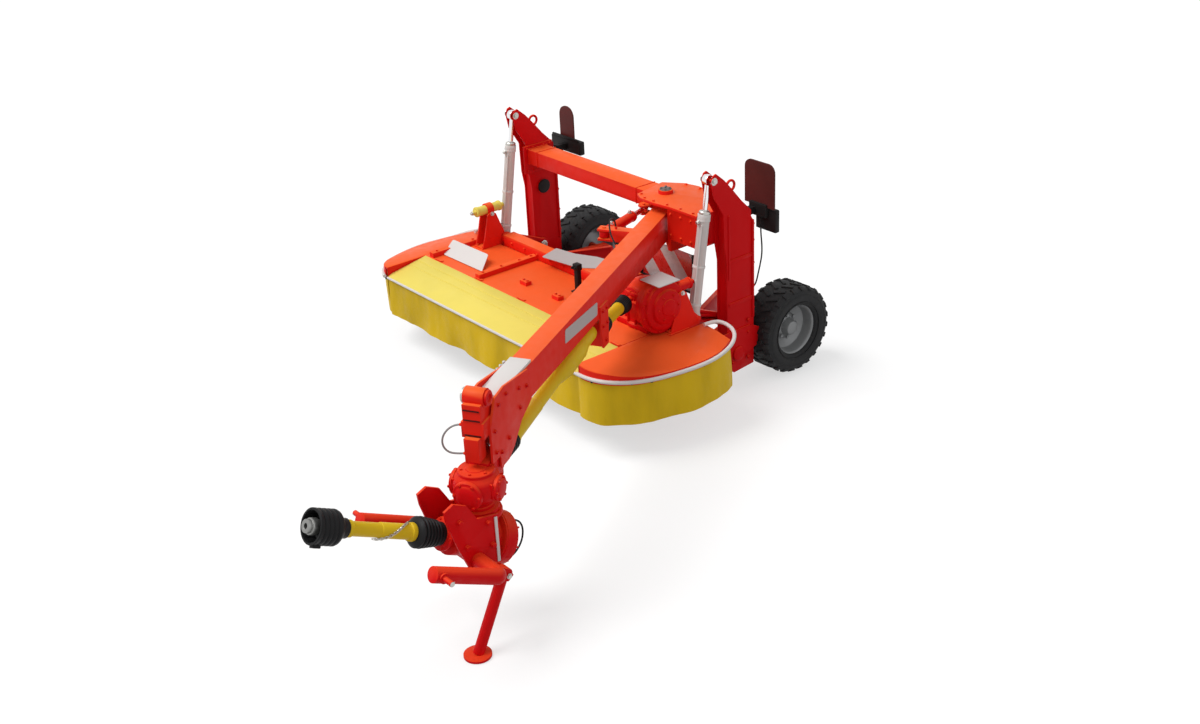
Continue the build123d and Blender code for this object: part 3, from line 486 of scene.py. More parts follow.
def tyre_shape():
    """One tyre about Z, with its tread."""
    wall = TYRE_HALF
    half = [(RIM_RADIUS + 0.001, 0.131), (RIM_RADIUS + 0.012, 0.146), (0.262, wall - 0.004),
            (0.300, wall), (0.335, wall - 0.004), (0.358, 0.150), (0.368, 0.132), (0.3735, 0.085)]
    carcass = [(r, -h) for r, h in half] + [(CROWN_RADIUS, 0.0)] + half[::-1]
    bm = spin_round(carcass + carcass[:1], 96)
    for ring in WALL_RINGS:
        for hand in (-1, 1):
            rib = [(ring + across, hand * (wall - sunk)) for across, sunk in (
                (-0.004, 0.008), (-0.002, 0.0), (0.002, 0.0), (0.004, 0.008))]
            add(bm, spin_round(rib, 96))
    for n in range(LUGS):
        for hand in (-1, 1):
            turn = Matrix.Rotation(tau / LUGS * (n + 0.25 * hand), 4, "Z")
            lean = Matrix.Rotation(hand * BAR_LEAN, 4, "X")
            slope = Matrix.Rotation(-hand * SHOULDER_SLOPE, 4, "Y")
            bar_place = Matrix.Translation((0.3775, 0, hand * 0.052)) @ lean
            add(bm, block((0.018, 0.030, 0.104), 0.003), turn @ bar_place)
            shoulder_place = Matrix.Translation((0.3655, 0.014 * hand, hand * 0.134)) @ slope
            add(bm, block((0.022, 0.042, 0.052), 0.003), turn @ shoulder_place)
    for v in bm.verts:
        r = v.co.xy.length
        if r > TYRE_RADIUS:
            v.co.xy *= TYRE_RADIUS / r
    return bm


for side, word in SIDES:
    bm = bmesh.new()
    add(bm, tyre_shape(), facing(middle("tyre_" + word), (side, 0, 0)))
    finish_piece(bm, "tyre_tread_" + word, tyre_rubber, "wheel_" + word, "tyre_" + word, sharp=28)

# %% [markdown]
# ## Rims
# The disc of a pressed steel wheel is dished: from the flange it dips into the well, rises in a soft
# cone to the bolt circle, and ends in a hub with its dust cap. One spun profile gives all of that,
# and eight studs with nuts stand on it.

# %% Dish, nuts and dust cap
WHEEL_NUTS = 8
HEX_CORNER = 0.577


def nut(across, height):
    """A hexagon nut on its washer, about Z."""
    bm = bmesh.new()
    corner = across * HEX_CORNER
    bmesh.ops.create_cone(bm, cap_ends=True, segments=6, radius1=corner, radius2=corner, depth=height)
    bmesh.ops.bevel(bm, geom=[e for e in bm.edges if e.verts[0].co.z > 0 and e.verts[1].co.z > 0],
                    offset=across * 0.06, offset_type="OFFSET", segments=1, profile=0.5,
                    affect="EDGES", material=-1)
    bmesh.ops.translate(bm, verts=bm.verts, vec=(0, 0, height / 2 + 0.002))
    washer = [(0.0, 0.0), (across * 0.72, 0.0), (across * 0.74, 0.0012), (across * 0.70, 0.0025),
              (0.0, 0.0025)]
    add(bm, spin_round(washer, 16))
    return bm


def rim_shape():
    """One wheel rim about Z, its outer side up."""
    section = [(0.040, -0.020), (0.120, -0.020), (0.150, -0.010), (0.172, 0.010), (0.188, 0.014),
               (0.196, -0.030), (0.198, -0.110), (0.214, -0.126), (0.222, -0.131), (0.224, -0.127),
               (0.216, -0.118), (0.2145, 0.0), (0.216, 0.118), (0.224, 0.127), (0.222, 0.131),
               (0.213, 0.126), (0.200, 0.105), (0.198, 0.050), (0.190, 0.030), (0.172, 0.022),
               (0.150, 0.002), (0.122, -0.008), (0.100, 0.020), (0.078, 0.030), (0.070, 0.060),
               (0.058, 0.088), (0.040, 0.096), (0.0, 0.097)]
    bm = spin_round(section, 96)
    for n in range(WHEEL_NUTS):
        place = Matrix.Rotation(tau / WHEEL_NUTS * n, 4, "Z") @ Matrix.Translation((0.100, 0, 0.018))
        add(bm, nut(0.026, 0.018), place)
    return bm


for side, word in SIDES:
    bm = bmesh.new()
    add(bm, rim_shape(), facing(middle("rim_" + word), (side, 0, 0)))
    finish_piece(bm, "wheel_disc_" + word, grey_rim, "wheel_" + word, "rim_" + word)

# %% [markdown]
# ## Curtains
# The curtains are coated cloth, hung from the covers by their top edge and free at the hem. The CAD
# solid gives the path that each one hangs along, so a copy of it is divided into a fine grid, and
# noise pushes the grid in and out, more towards the hem, where the cloth is free to swing.

# %% Hang the cloth
ROWS, COLUMNS = 13, 2
FOLD, WRINKLE = 0.030, 0.013
FOLDS_PER_METRE, WRINKLES_PER_METRE = 3.1, 9.0
TOP_SHARE, DROP_POWER = 0.10, 0.8
MOWER_CENTRE = spot(0, -1.55, 0)


def node_copy(node):
    """A bmesh of a CAD node, with its loose triangles joined."""
    bm = bmesh.new()
    bm.from_mesh(nodes[node].data)
    bmesh.ops.remove_doubles(bm, verts=bm.verts, dist=WELD)
    return bm


def curtain(node, body, seed):
    """Cloth folds on a copy of the plain strip, deeper towards the hem."""
    bm = node_copy(node)
    bmesh.ops.dissolve_limit(bm, angle_limit=radians(1), verts=bm.verts, edges=bm.edges)
    low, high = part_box(node)
    upright = [e for e in bm.edges if abs(e.verts[0].co.z - e.verts[1].co.z) > 0.1]
    bmesh.ops.subdivide_edges(bm, edges=upright, cuts=ROWS, use_grid_fill=True)
    level = [e for e in bm.edges
             if abs(e.verts[0].co.z - e.verts[1].co.z) < 1e-4 and e.calc_length() > 0.02]
    bmesh.ops.subdivide_edges(bm, edges=level, cuts=COLUMNS, use_grid_fill=True)
    for v in bm.verts:
        drop = (high.z - v.co.z) / (high.z - low.z)
        out = Vector((v.co.x - MOWER_CENTRE.x, (v.co.y - MOWER_CENTRE.y) * 1.6, 0)).normalized()
        if node == "front_curtain":
            out = -REAR
        x, y = v.co.x, v.co.y
        broad = Vector((x * FOLDS_PER_METRE, y * FOLDS_PER_METRE, drop * 0.5 + seed))
        fine = Vector((x * WRINKLES_PER_METRE, y * WRINKLES_PER_METRE, drop * 1.3 + seed))
        fold = noise.noise(broad) * FOLD + noise.noise(fine) * WRINKLE
        v.co += out * fold * (TOP_SHARE + (1 - TOP_SHARE) * drop ** DROP_POWER)
    cloth = finish_piece(bm, node + "_cloth", yellow_cloth, body, node, sharp=50)


curtain("front_curtain", "front_cover", 1.0)
curtain("curtain_left", "mower", 5.0)
curtain("curtain_right", "cover_right", 9.0)

# %% [markdown]
# ## White trim
# A white strip runs along the edge of the front cover and clamps the cloth. It is cut from the cover
# itself: the faces of the turned-down edge are copied, and given a thickness outwards.

# %% Clamp strip from the cover's edge


def copied_faces(node, keep):
    """A bmesh with those faces of a node that pass a test."""
    bm = node_copy(node)
    bmesh.ops.recalc_face_normals(bm, faces=bm.faces)
    bmesh.ops.delete(bm, geom=[face for face in bm.faces if not keep(face)], context="FACES")
    return bm


def upright_between(face, low, high):
    """Whether an upright face lies between two heights."""
    heights = [v.co.z for v in face.verts]
    return min(heights) > low and max(heights) < high and abs(face.normal.z) < 0.3


def on_front_edge(face):
    """Whether a face of the front cover is on the front of its turned-down edge."""
    return upright_between(face, 0.60, 0.67) and face.normal.y <= -0.15


bm = copied_faces("front_cover", on_front_edge)
bmesh.ops.solidify(bm, geom=bm.faces[:], thickness=-0.007)
finish_piece(bm, "front_cover_trim", white_paint, "front_cover")

# %% [markdown]
# ## Walls of the end covers
# The sheet of an end cover falls towards its edge, and a bent wall closes it down to the clamp strip.
# The wall is copied from the turned-down edge as well, and its upper points rise to the sheet. A small
# cheek beside the front cover closes the inner side.

# %% Walls up to the sheet
SHEET_HIGH, SHEET_MIDDLE, SHEET_LOW = 0.745, 0.725, 0.681
SHEET_THICKNESS = 0.003
BEND_SHARE, FLAT_SHARE = 0.55, 0.07
COVER_CENTRE_Y = -1.600
CHEEK = [(-1.780, 0.742), (-1.780, 0.732), (-2.150, 0.668), (-2.186, 0.646), (-2.186, 0.742)]
ACROSS = Matrix(((0, 0, 1, 0), (1, 0, 0, 0), (0, 1, 0, 0), (0, 0, 0, 1)))


def sheet_height(x, inner_x, outer_x):
    """The height of an end cover's sheet at a distance across the machine."""
    share = (x - inner_x) / (outer_x - inner_x)
    if share < BEND_SHARE:
        past_flat = max(0.0, share - FLAT_SHARE) / (BEND_SHARE - FLAT_SHARE)
        return SHEET_HIGH + (SHEET_MIDDLE - SHEET_HIGH) * past_flat
    return SHEET_MIDDLE + (SHEET_LOW - SHEET_MIDDLE) * (share - BEND_SHARE) / (1 - BEND_SHARE)


def cover_wall(word, body, inner_x, outer_x, cheek_x):
    """The wall of an end cover, with the cheek beside the front cover."""
    centre = spot((inner_x + outer_x) / 2, COVER_CENTRE_Y, 0)

    def on_outer_edge(face):
        """Whether a face is the tall outer one of the turned-down edge."""
        heights = [v.co.z for v in face.verts]
        outward = face.calc_center_median() - centre
        outward.z = 0.0
        tall = max(heights) - min(heights) > 0.03
        return tall and upright_between(face, 0.635, 0.692) and face.normal.dot(outward) >= 0

    bm = copied_faces("cover_" + word, on_outer_edge)
    for v in bm.verts:
        if v.co.z > 0.688:
            v.co.z = max(v.co.z, sheet_height(v.co.x + OUTLINE_X, inner_x, outer_x))
    bmesh.ops.solidify(bm, geom=bm.faces[:], thickness=-SHEET_THICKNESS)
    add(bm, slab(CHEEK, SHEET_THICKNESS), Matrix.Translation(spot(cheek_x, 0, 0)) @ ACROSS)
    finish_piece(bm, "cover_wall_" + word, orange_paint, body)


cover_wall("left", "mower", 1.236, 1.804, 1.2395)
cover_wall("right", "cover_right", -1.5005, -1.895, -1.5055)

# %% [markdown]
# ## Free hoses
# One hose hangs behind the hitch and one beside the drawbar's nose, a third arches over the swing
# cylinder, and a cable drops from the near lamp. Each is one NURBS curve drawn by the points of its
# CAD tube's route, so it bends as a hose of that stiffness would. The end fittings belong to the
# pieces that the hose goes into.

# %% Four curves with a round section
HOSE_RADIUS = 0.0065


def round_curve(name, points, radius):
    """A smooth curve drawn by a few points, with a round section."""
    curve = bpy.data.curves.new(name, "CURVE")
    curve.dimensions = "3D"
    curve.bevel_depth = radius
    curve.bevel_resolution = 4
    curve.resolution_u = 10
    curve.use_fill_caps = True
    spline = curve.splines.new("NURBS")
    spline.points.add(len(points) - 1)
    for point, place in zip(spline.points, points):
        point.co = (*place, 1.0)
    spline.order_u = 3
    spline.use_endpoint_u = True
    return curve


def hose(name, node, body, route, finish=hose_rubber):
    """A free hose along a route, in place of its plain tube."""
    curve = round_curve(name, route, HOSE_RADIUS)
    curve.materials.append(finish)
    piece = bpy.data.objects.new(name, curve)
    bpy.context.scene.collection.objects.link(piece)
    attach(piece, body)
    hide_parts(node)
    print(name, "points:", len(route))


hose("headstock_line", "headstock_hose", "headstock", [
    Vector((SWIVEL.x + 0.040, SWIVEL.y + y, z)) for y, z in (
        (0.216, 0.663), (0.254, 0.644), (0.286, 0.596), (0.291, 0.532), (0.270, 0.464), (0.218, 0.408),
        (0.146, 0.386), (0.092, 0.413))])
hose("nose_line", "nose_hose", "drawbar", [
    on_drawbar(DRAWBAR_LENGTH + a, s, z) for a, s, z in (
        (-0.029, -0.100, 1.400), (-0.027, -0.135, 1.394), (-0.018, -0.185, 1.360), (-0.008, -0.220, 1.308),
        (-0.006, -0.226, 1.248), (-0.010, -0.200, 1.204), (-0.017, -0.148, 1.190),
        (-0.022, -0.086, 1.200))], pale_hose)
hose("cylinder_line", "cylinder_hose", "drawbar", [
    on_drawbar(a, s, z) for a, s, z in (
        (0.632, -0.215, 1.515), (0.636, -0.217, 1.552), (0.668, -0.222, 1.592), (0.728, -0.222, 1.612),
        (0.800, -0.206, 1.606), (0.868, -0.178, 1.576), (0.918, -0.146, 1.534),
        (0.950, -0.100, 1.486))])
hose("lamp_line", "lamp_cable", "frame", [
    spot(x, y, z) for x, y, z in (
        (1.305, -0.275, 1.420), (1.306, -0.277, 1.366), (1.316, -0.283, 1.294), (1.334, -0.290, 1.214),
        (1.340, -0.296, 1.130), (1.328, -0.302, 1.048), (1.316, -0.312, 0.970), (1.318, -0.334, 0.904),
        (1.324, -0.366, 0.866), (1.326, -0.398, 0.862))])

# %% [markdown]
# ## Boots, guards and joints of the drive shafts
# A guard is two plastic tubes that slide in each other, with a ribbed boot at each end. Everything is
# round about the shaft, so each piece is one spun profile: the boot's waves come from a loop, and
# the bell at the tractor's end is turned inside as well, because one looks straight into it.

# %% Helpers for round pieces


def turned(origin, direction, profile, steps=48):
    """A spun profile, its axis running from a point along a direction."""
    bm = spin_round(profile, steps)
    bmesh.ops.transform(bm, matrix=facing(Vector(origin), Vector(direction)), verts=bm.verts)
    return bm


def bar(start, end, radius, steps=20, round_edge=0.002):
    """A round bar between two points, with its rims a little rounded."""
    run = Vector(end) - Vector(start)
    e = min(round_edge, radius / 3)
    return turned(start, run, [(0, 0), (radius - e, 0), (radius, e), (radius, run.length - e),
                               (radius - e, run.length), (0, run.length)], steps)


def ribbed(h0, h1, r0, r1, ribs, depth):
    """Radius and height of a boot's waves, with crests that run from one radius to another."""
    points = []
    for n in range(ribs):
        for share, dip in ((0.12, 0.5), (0.30, 0.0), (0.62, 0.0), (0.84, 0.5), (1.0, 1.0)):
            along = (n + share) / ribs
            points.append((r0 + (r1 - r0) * along - depth * dip, h0 + (h1 - h0) * along))
    return points


def round_piece(name, origin, direction, profile, finish, body, node, steps=48):
    """One spun piece, which stands in for a node."""
    bm = bmesh.new()
    add(bm, turned(origin, direction, profile, steps))
    finish_piece(bm, name, finish, body, node)


# %% The shaft to the tractor
boot = ([(0, 0.0), (0.070, 0.0), (0.076, 0.004), (0.076, 0.028), (0.066, 0.034)]
        + ribbed(0.036, 0.176, 0.084, 0.104, 5, 0.020)
        + [(0.100, 0.182), (0.101, 0.192), (0.086, 0.207), (0.060, 0.2145), (0, 0.2145)])
round_piece("shaft_boot", SHAFT, NOSE, boot, guard_black, "headstock", "pto_bellows")
guard = [(0, 0.2155), (0.058, 0.2155), (0.061, 0.222), (0.059, 0.246), (0.0505, 0.252), (0.0500, 0.262),
         (0.0500, 0.466), (0.0490, 0.470), (0.0462, 0.472), (0.0462, 0.676), (0.0480, 0.680),
         (0.0540, 0.686), (0.0550, 0.712), (0.053, 0.7145), (0, 0.7145)]
round_piece("shaft_guard", SHAFT, NOSE, guard, guard_yellow, "headstock", "pto_guard")
bell = ([(0, 0.7155), (0.056, 0.7155), (0.062, 0.722), (0.063, 0.752), (0.074, 0.774), (0.098, 0.788),
         (0.106, 0.796)] + ribbed(0.800, 0.930, 0.112, 0.112, 4, 0.007)
        + [(0.108, 0.934), (0.112, 0.940), (0.112, 0.958), (0.109, 0.961), (0.098, 0.961), (0.096, 0.955),
           (0.094, 0.872), (0.086, 0.864), (0.050, 0.862), (0, 0.862)])
bm = bmesh.new()
add(bm, turned(SHAFT, NOSE, bell, 56))
add_ribs(bm, facing(SHAFT + NOSE * 0.866, NOSE), 12, (0.004, 0.010, 0.088), 0.001, (0.094, 0, 0.044))
catch = facing(SHAFT + NOSE * 0.920, NOSE) @ Matrix.Rotation(radians(-70), 4, "Z")
add_block(bm, (0.030, 0.050, 0.052), 0.006, (0.112, 0, 0), catch)
finish_piece(bm, "shaft_bell", guard_black, "headstock", "pto_joint")
fork = [(0.0175, 0.863), (0.044, 0.863), (0.044, 0.925), (0.052, 0.931), (0.053, 0.968), (0.050, 0.974),
        (0.043, 0.976), (0.042, 0.996), (0.040, 1.000), (0.020, 1.000), (0.0175, 0.997), (0.0175, 0.863)]
bm = bmesh.new()
add(bm, turned(SHAFT, NOSE, fork, 40))
add_ribs(bm, facing(SHAFT + NOSE * 0.884, NOSE), 2, (0.016, 0.046, 0.038), 0.004, (0.056, 0, 0))
finish_piece(bm, "shaft_fork", grey_metal, "headstock")

# %% The long shaft under the drawbar
GUARD_FRONT = on_drawbar(DRAWBAR_LENGTH - 0.261, 0, 1.022)
GUARD_RUN = on_drawbar(1.830, 0, 1.150) - GUARD_FRONT
GUARD_LENGTH = GUARD_RUN.length
BOOT_RIBS, CONE_WAVES = 7, 11

boot = ([(0, 0), (0.058, 0.0), (0.062, 0.004), (0.062, 0.050)]
        + ribbed(0.056, 0.150 * GUARD_LENGTH, 0.066, 0.0755, BOOT_RIBS, 0.012)
        + [(0.072, 0.154 * GUARD_LENGTH), (0.056, 0.1595 * GUARD_LENGTH), (0, 0.1595 * GUARD_LENGTH)])
round_piece("drive_bellows", GUARD_FRONT, GUARD_RUN, boot, guard_black, "drawbar", "drive_boot")
# Radii, each with its share of the guard's length.
shares = ([(0, 0.1605), (0.060, 0.1605), (0.062, 0.165), (0.060, 0.178), (0.054, 0.182), (0.054, 0.40),
           (0.0525, 0.402), (0.0505, 0.403), (0.0505, 0.61), (0.058, 0.62), (0.062, 0.63), (0.082, 0.70)]
          + [(0.082 - 0.003 * (n % 2), 0.705 + 0.0135 * n) for n in range(CONE_WAVES)]
          + [(0.080, 0.845), (0.060, 0.90), (0.060, 0.985), (0.055, 0.999), (0, 0.999)])
guard = [(radius, share * GUARD_LENGTH) for radius, share in shares]
round_piece("drive_tube", GUARD_FRONT, GUARD_RUN, guard, guard_yellow, "drawbar", "drive_guard")

# %% The short shaft to the main gearbox
link_rear = spot(1.040, -1.530, 1.000)
link_run = on_drawbar(1.690, 0, 1.100) - link_rear
LINK = link_run.length
boot = ([(0, 0.0265), (0.020, 0.0265), (0.020, 0.058), (0.074, 0.061)]
        + ribbed(0.064, 0.180, 0.080, 0.068, 5, 0.014) + [(0.050, 0.189), (0.0312, 0.190)])
bm = bmesh.new()
add(bm, turned(link_rear, link_run, boot, 40))
finish_piece(bm, "link_boot_rear", guard_black, "link_shaft")
tube = [(0.0312, 0.190), (0.048, 0.190), (0.050, 0.194), (0.050, 0.222), (0.048, 0.226),
        (0.048, LINK - 0.212), (0.0465, LINK - 0.210), (0.0312, LINK - 0.210)]
round_piece("link_tube", link_rear, link_run, tube, guard_yellow, "link_shaft", "link_shaft", 40)
boot = ([(0, 0.215), (0.030, 0.215), (0.031, 0.218), (0.031, LINK - 0.191), (0.062, LINK - 0.189)]
        + ribbed(LINK - 0.186, LINK - 0.066, 0.068, 0.080, 5, 0.014)
        + [(0.070, LINK - 0.061), (0.028, LINK - 0.060), (0.028, LINK - 0.034), (0, LINK - 0.034)])
round_piece("link_boot_front", link_rear, link_run, boot, guard_black, "link_slide", "link_slide", 40)

# %% [markdown]
# ## Swivel gearboxes of the hitch
# The upper gearbox is a round casting: a narrow neck turns on the headstock, the body swells over the
# bevel gears, and round covers with their own bolts close it in front and at both sides. A spun body,
# a rounded block towards the drawbar and spun covers make it. The lower casting keeps its CAD shape
# and gets its covers, bolts, a strip and the lever of its oil tap.

# %% Covers and bolt circles


def bolt_ring(bm, origin, direction, radius, count, across=0.020, height=0.010, turn=0.0):
    """Bolt heads round a circle."""
    place = facing(Vector(origin), Vector(direction))
    for n in range(count):
        step = Matrix.Rotation(tau / count * (n + turn), 4, "Z") @ Matrix.Translation((radius, 0, 0))
        add(bm, nut(across, height), place @ step)


def bolts(name, places, body, across=0.020, height=0.011, finish=red_paint):
    """Loose bolt heads, as (point, direction) places."""
    bm = bmesh.new()
    for origin, direction in places:
        add(bm, nut(across, height), facing(Vector(origin), Vector(direction)))
    finish_piece(bm, name, finish, body)


def lid(radius, height, edge=0.006, dome=0.010):
    """A round cover about Z: a flange, a step and a soft dome."""
    return [(0, 0), (radius, 0), (radius, height - edge), (radius - edge, height),
            (radius * 0.80, height), (radius * 0.74, height + 0.004), (radius * 0.66, height + dome),
            (radius * 0.30, height + dome + 0.004), (0, height + dome + 0.005)]


# %% The upper gearbox
at_swivel = Vector((SWIVEL.x, SWIVEL.y, 0))
gear_centre = SWIVEL + UP
casting = [(0.0605, 0.851), (0.094, 0.851), (0.098, 0.856), (0.098, 0.872), (0.092, 0.878), (0.094, 0.892),
           (0.110, 0.908), (0.134, 0.926), (0.150, 0.950), (0.157, 0.985), (0.158, 1.020), (0.152, 1.052),
           (0.140, 1.078), (0.122, 1.094), (0.120, 1.100), (0.120, 1.114), (0.116, 1.119),
           (0.070, 1.121), (0.066, 1.127), (0.0, 1.130), (0.0, 0.930), (0.0605, 0.930), (0.0605, 0.851)]
# Direction, radius of the cover and radius of its bolt circle.
gear_covers = ((AHEAD, 0.100, 0.086), (ASIDE, 0.084, 0.072), (-ASIDE, 0.084, 0.072))
bm = bmesh.new()
add(bm, turned(at_swivel, UP, casting, 64))
towards = Matrix.Translation(on_drawbar(DRAWBAR_LENGTH - 0.140, 0, 1.042)) @ Matrix.Rotation(YAW, 4, "Z")
add(bm, block((0.150, 0.236, 0.212), 0.024), towards)
add(bm, bar(GUARD_FRONT - GUARD_RUN.normalized() * 0.120, GUARD_FRONT, 0.074, 40, 0.006))
for direction, radius, circle in gear_covers:
    add(bm, turned(gear_centre + direction * 0.140, direction, lid(radius, 0.026)))
rib_place = Matrix.Translation(at_swivel + UP * 0.990) @ Matrix.Rotation(YAW, 4, "Z")
add_ribs(bm, rib_place, 6, (0.024, 0.012, 0.110), 0.004, (0.154, 0, 0.018), 0.5)
finish_piece(bm, "upper_casting", red_paint, "drawbar", "upper_gearbox")
bm = bmesh.new()
for direction, radius, circle in gear_covers:
    bolt_ring(bm, gear_centre + direction * 0.166, direction, circle, 6, 0.016, 0.008)
bolt_ring(bm, at_swivel + UP * 1.119, UP, 0.096, 6, 0.016, 0.008)
finish_piece(bm, "upper_bolts", red_paint, "drawbar")

# %% The lower gearbox: covers and flanges
rear_face = SHAFT - NOSE * 0.500
rear_flange = [(0.176, 0), (0.184, 0.004), (0.186, 0.016), (0.184, 0.028), (0.176, 0.032), (0.176, 0)]
front_flange = [(0.070, 0), (0.108, 0), (0.110, 0.004), (0.110, 0.016), (0.104, 0.020), (0.082, 0.022),
                (0.076, 0.029), (0.070, 0.029), (0.070, 0)]
swivel_flange = [(0.120, 0), (0.142, 0.004), (0.146, 0.012), (0.146, 0.034), (0.142, 0.040), (0.118, 0.040),
                 (0.120, 0)]
bm = bmesh.new()
add(bm, turned(rear_face, -NOSE, lid(0.120, 0.030, dome=0.012), 56))
add(bm, turned(SHAFT - NOSE * 0.408, -NOSE, rear_flange, 64))
add_ribs(bm, facing(rear_face - NOSE * 0.004, -NOSE), 8, (0.052, 0.012, 0.026), 0.004, (0.146, 0, 0.006))
add(bm, turned(SHAFT - NOSE * 0.030, NOSE, front_flange))
add(bm, turned((SHAFT.x, SWIVEL.y, 0.786), UP, swivel_flange, 56))
finish_piece(bm, "lower_covers", red_paint, "headstock")

# %% The lower gearbox: bolts, strip and oil lever
bm = bmesh.new()
bolt_ring(bm, rear_face - NOSE * 0.030, -NOSE, 0.104, 8, 0.018, 0.009)
bolt_ring(bm, SHAFT - NOSE * 0.010, NOSE, 0.094, 6, 0.014, 0.007)
bolt_ring(bm, (SHAFT.x, SWIVEL.y, 0.826), UP, 0.132, 10, 0.015, 0.008)
for side in (-1, 1):
    for y, z in ((-0.260, 0.900), (-0.220, 0.700), (-0.050, 0.810), (-0.030, 0.640)):
        head = Vector((SWIVEL.x + side * 0.168, SWIVEL.y + y, z))
        add(bm, nut(0.030, 0.014), facing(head, (side, 0, 0)))
finish_piece(bm, "lower_bolts", red_paint, "headstock")
bm = bmesh.new()
strip_foot = Vector((SWIVEL.x + 0.163, SWIVEL.y + 0.006, 0.500))
add_block(bm, (0.008, 0.022, 0.330), 0.002, strip_foot + UP * 0.165)
finish_piece(bm, "side_strip", white_paint, "headstock")
bm = bmesh.new()
tap = rear_face - NOSE * 0.030 + LEFT * 0.030
lever_root = rear_face - NOSE * 0.052 + LEFT * 0.030
add(bm, bar(tap, lever_root, 0.014))
add(bm, bar(lever_root, lever_root + Vector((0.030, 0.015, 0.120)), 0.007))
add(bm, bar(lever_root + Vector((0.030, 0.015, 0.112)), lever_root + Vector((0.034, 0.017, 0.150)), 0.011))
finish_piece(bm, "oil_lever", zinc, "headstock")

# %% [markdown]
# ## Main gearbox
# Over the left end of the cutter bar stands a large casting. It is turned from one profile with two
# flanges, ribs are set round it by a loop, and a large drum faces the machine's left side. A pale
# blank plate lies above the drum, and the filler plug stands on top.

# %% Casting, side drum and plate
GEARBOX = spot(1.040, -1.300, 0)
DRUM = spot(1.200, -1.352, 0.992)
casting = [(0, 0.752), (0.170, 0.752), (0.178, 0.758), (0.178, 0.786), (0.172, 0.792), (0.160, 0.800),
           (0.163, 0.860), (0.163, 0.980), (0.158, 1.020), (0.174, 1.026), (0.178, 1.032), (0.178, 1.058),
           (0.174, 1.064), (0.158, 1.070), (0.150, 1.090), (0.124, 1.108), (0.088, 1.114), (0.060, 1.118),
           (0.058, 1.136), (0.052, 1.140), (0, 1.140)]
neck = [(0, 0), (0.092, 0), (0.092, 0.040), (0.098, 0.044), (0.098, 0.056), (0.090, 0.060), (0.070, 0.064),
        (0.034, 0.070), (0.030, 0.104), (0, 0.104)]
drum = [(0, 0), (0.206, 0), (0.212, 0.006), (0.212, 0.060), (0.222, 0.066), (0.232, 0.070), (0.234, 0.076),
        (0.234, 0.098), (0.230, 0.104), (0.204, 0.108), (0.198, 0.116), (0.196, 0.132), (0.176, 0.140),
        (0.150, 0.136), (0.142, 0.144), (0.138, 0.158), (0.120, 0.166), (0.072, 0.168), (0.068, 0.176),
        (0.050, 0.180), (0, 0.180)]
bm = bmesh.new()
add(bm, turned(GEARBOX, UP, casting, 72))
add_block(bm, (0.380, 0.330, 0.052), 0.008, GEARBOX + Vector((-0.010, 0, 0.774)))
add_block(bm, (0.397, 0.180, 0.180), 0.020, GEARBOX + Vector((-0.0165, 0, 0.920)))
add_ribs(bm, Matrix.Translation(GEARBOX + UP * 0.910), 12, (0.030, 0.012, 0.236), 0.004, (0.166, 0, 0), 0.5)
add(bm, turned(GEARBOX + Vector((0, -0.100, 1.000)), -REAR, neck))
add(bm, turned(DRUM, LEFT, drum, 72))
add_ribs(bm, facing(DRUM + LEFT * 0.118, LEFT), 10, (0.052, 0.010, 0.040), 0.003, (0.170, 0, 0))
add_block(bm, (0.150, 0.200, 0.150), 0.016, spot(1.130, -1.400, 0.925))
finish_piece(bm, "main_casting", red_paint, "mower", "main_gearbox")
bm = bmesh.new()
bolt_ring(bm, DRUM + LEFT * 0.104, LEFT, 0.218, 12, 0.018, 0.010, 0.5)
bolt_ring(bm, DRUM + LEFT * 0.166, LEFT, 0.104, 6, 0.016, 0.008)
bolt_ring(bm, GEARBOX + UP * 1.062, UP, 0.166, 12, 0.018, 0.010)
bolt_ring(bm, GEARBOX + UP * 0.790, UP, 0.169, 8, 0.018, 0.010, 0.5)
bolt_ring(bm, GEARBOX + Vector((0, -0.156, 1.000)), -REAR, 0.080, 6, 0.014, 0.007)
add(bm, nut(0.030, 0.016), Matrix.Translation(GEARBOX + Vector((0.100, 0.060, 1.104))))
finish_piece(bm, "main_bolts", red_paint, "mower")
bm = bmesh.new()
add_block(bm, (0.230, 0.220, 0.008), 0.003, spot(1.325, -1.400, 1.234))
finish_piece(bm, "gearbox_plate", blank_grey, "mower")

# %% [markdown]
# ## Rails on the covers
# A round white rail runs along the edge of each cover, and rises over the rear end of the two end
# covers. Small dark bolts under it clamp the cloth. The rail is a smooth curve drawn by a few points,
# and the mesh read from that curve becomes the piece.

# %% Bent tubes
RAIL_Z = 0.672
RAIL_RADIUS, FRONT_RAIL_RADIUS = 0.016, 0.010
PUSH = 0.016


def bent_tube(name, points, radius, body):
    """A round white tube along a smooth curve, as a mesh."""
    curve = round_curve(name, points, radius)
    passing = bpy.data.objects.new(name + "_path", curve)
    mesh = bpy.data.meshes.new_from_object(passing)
    bm = bmesh.new()
    bm.from_mesh(mesh)
    bpy.data.objects.remove(passing)
    bpy.data.curves.remove(curve)
    bpy.data.meshes.remove(mesh)
    finish_piece(bm, name, white_paint, body)


def pushed(edge, loop, centre):
    """A cover's edge and its rear loop, a little outwards, as a smooth curve cuts inside its points."""
    moved = []
    for x, y, z in [(x, y, RAIL_Z) for x, y in edge] + loop:
        out = Vector((x - centre[0], y - centre[1], 0)).normalized() * PUSH
        moved.append(spot(x + out.x, y + out.y, z))
    return moved


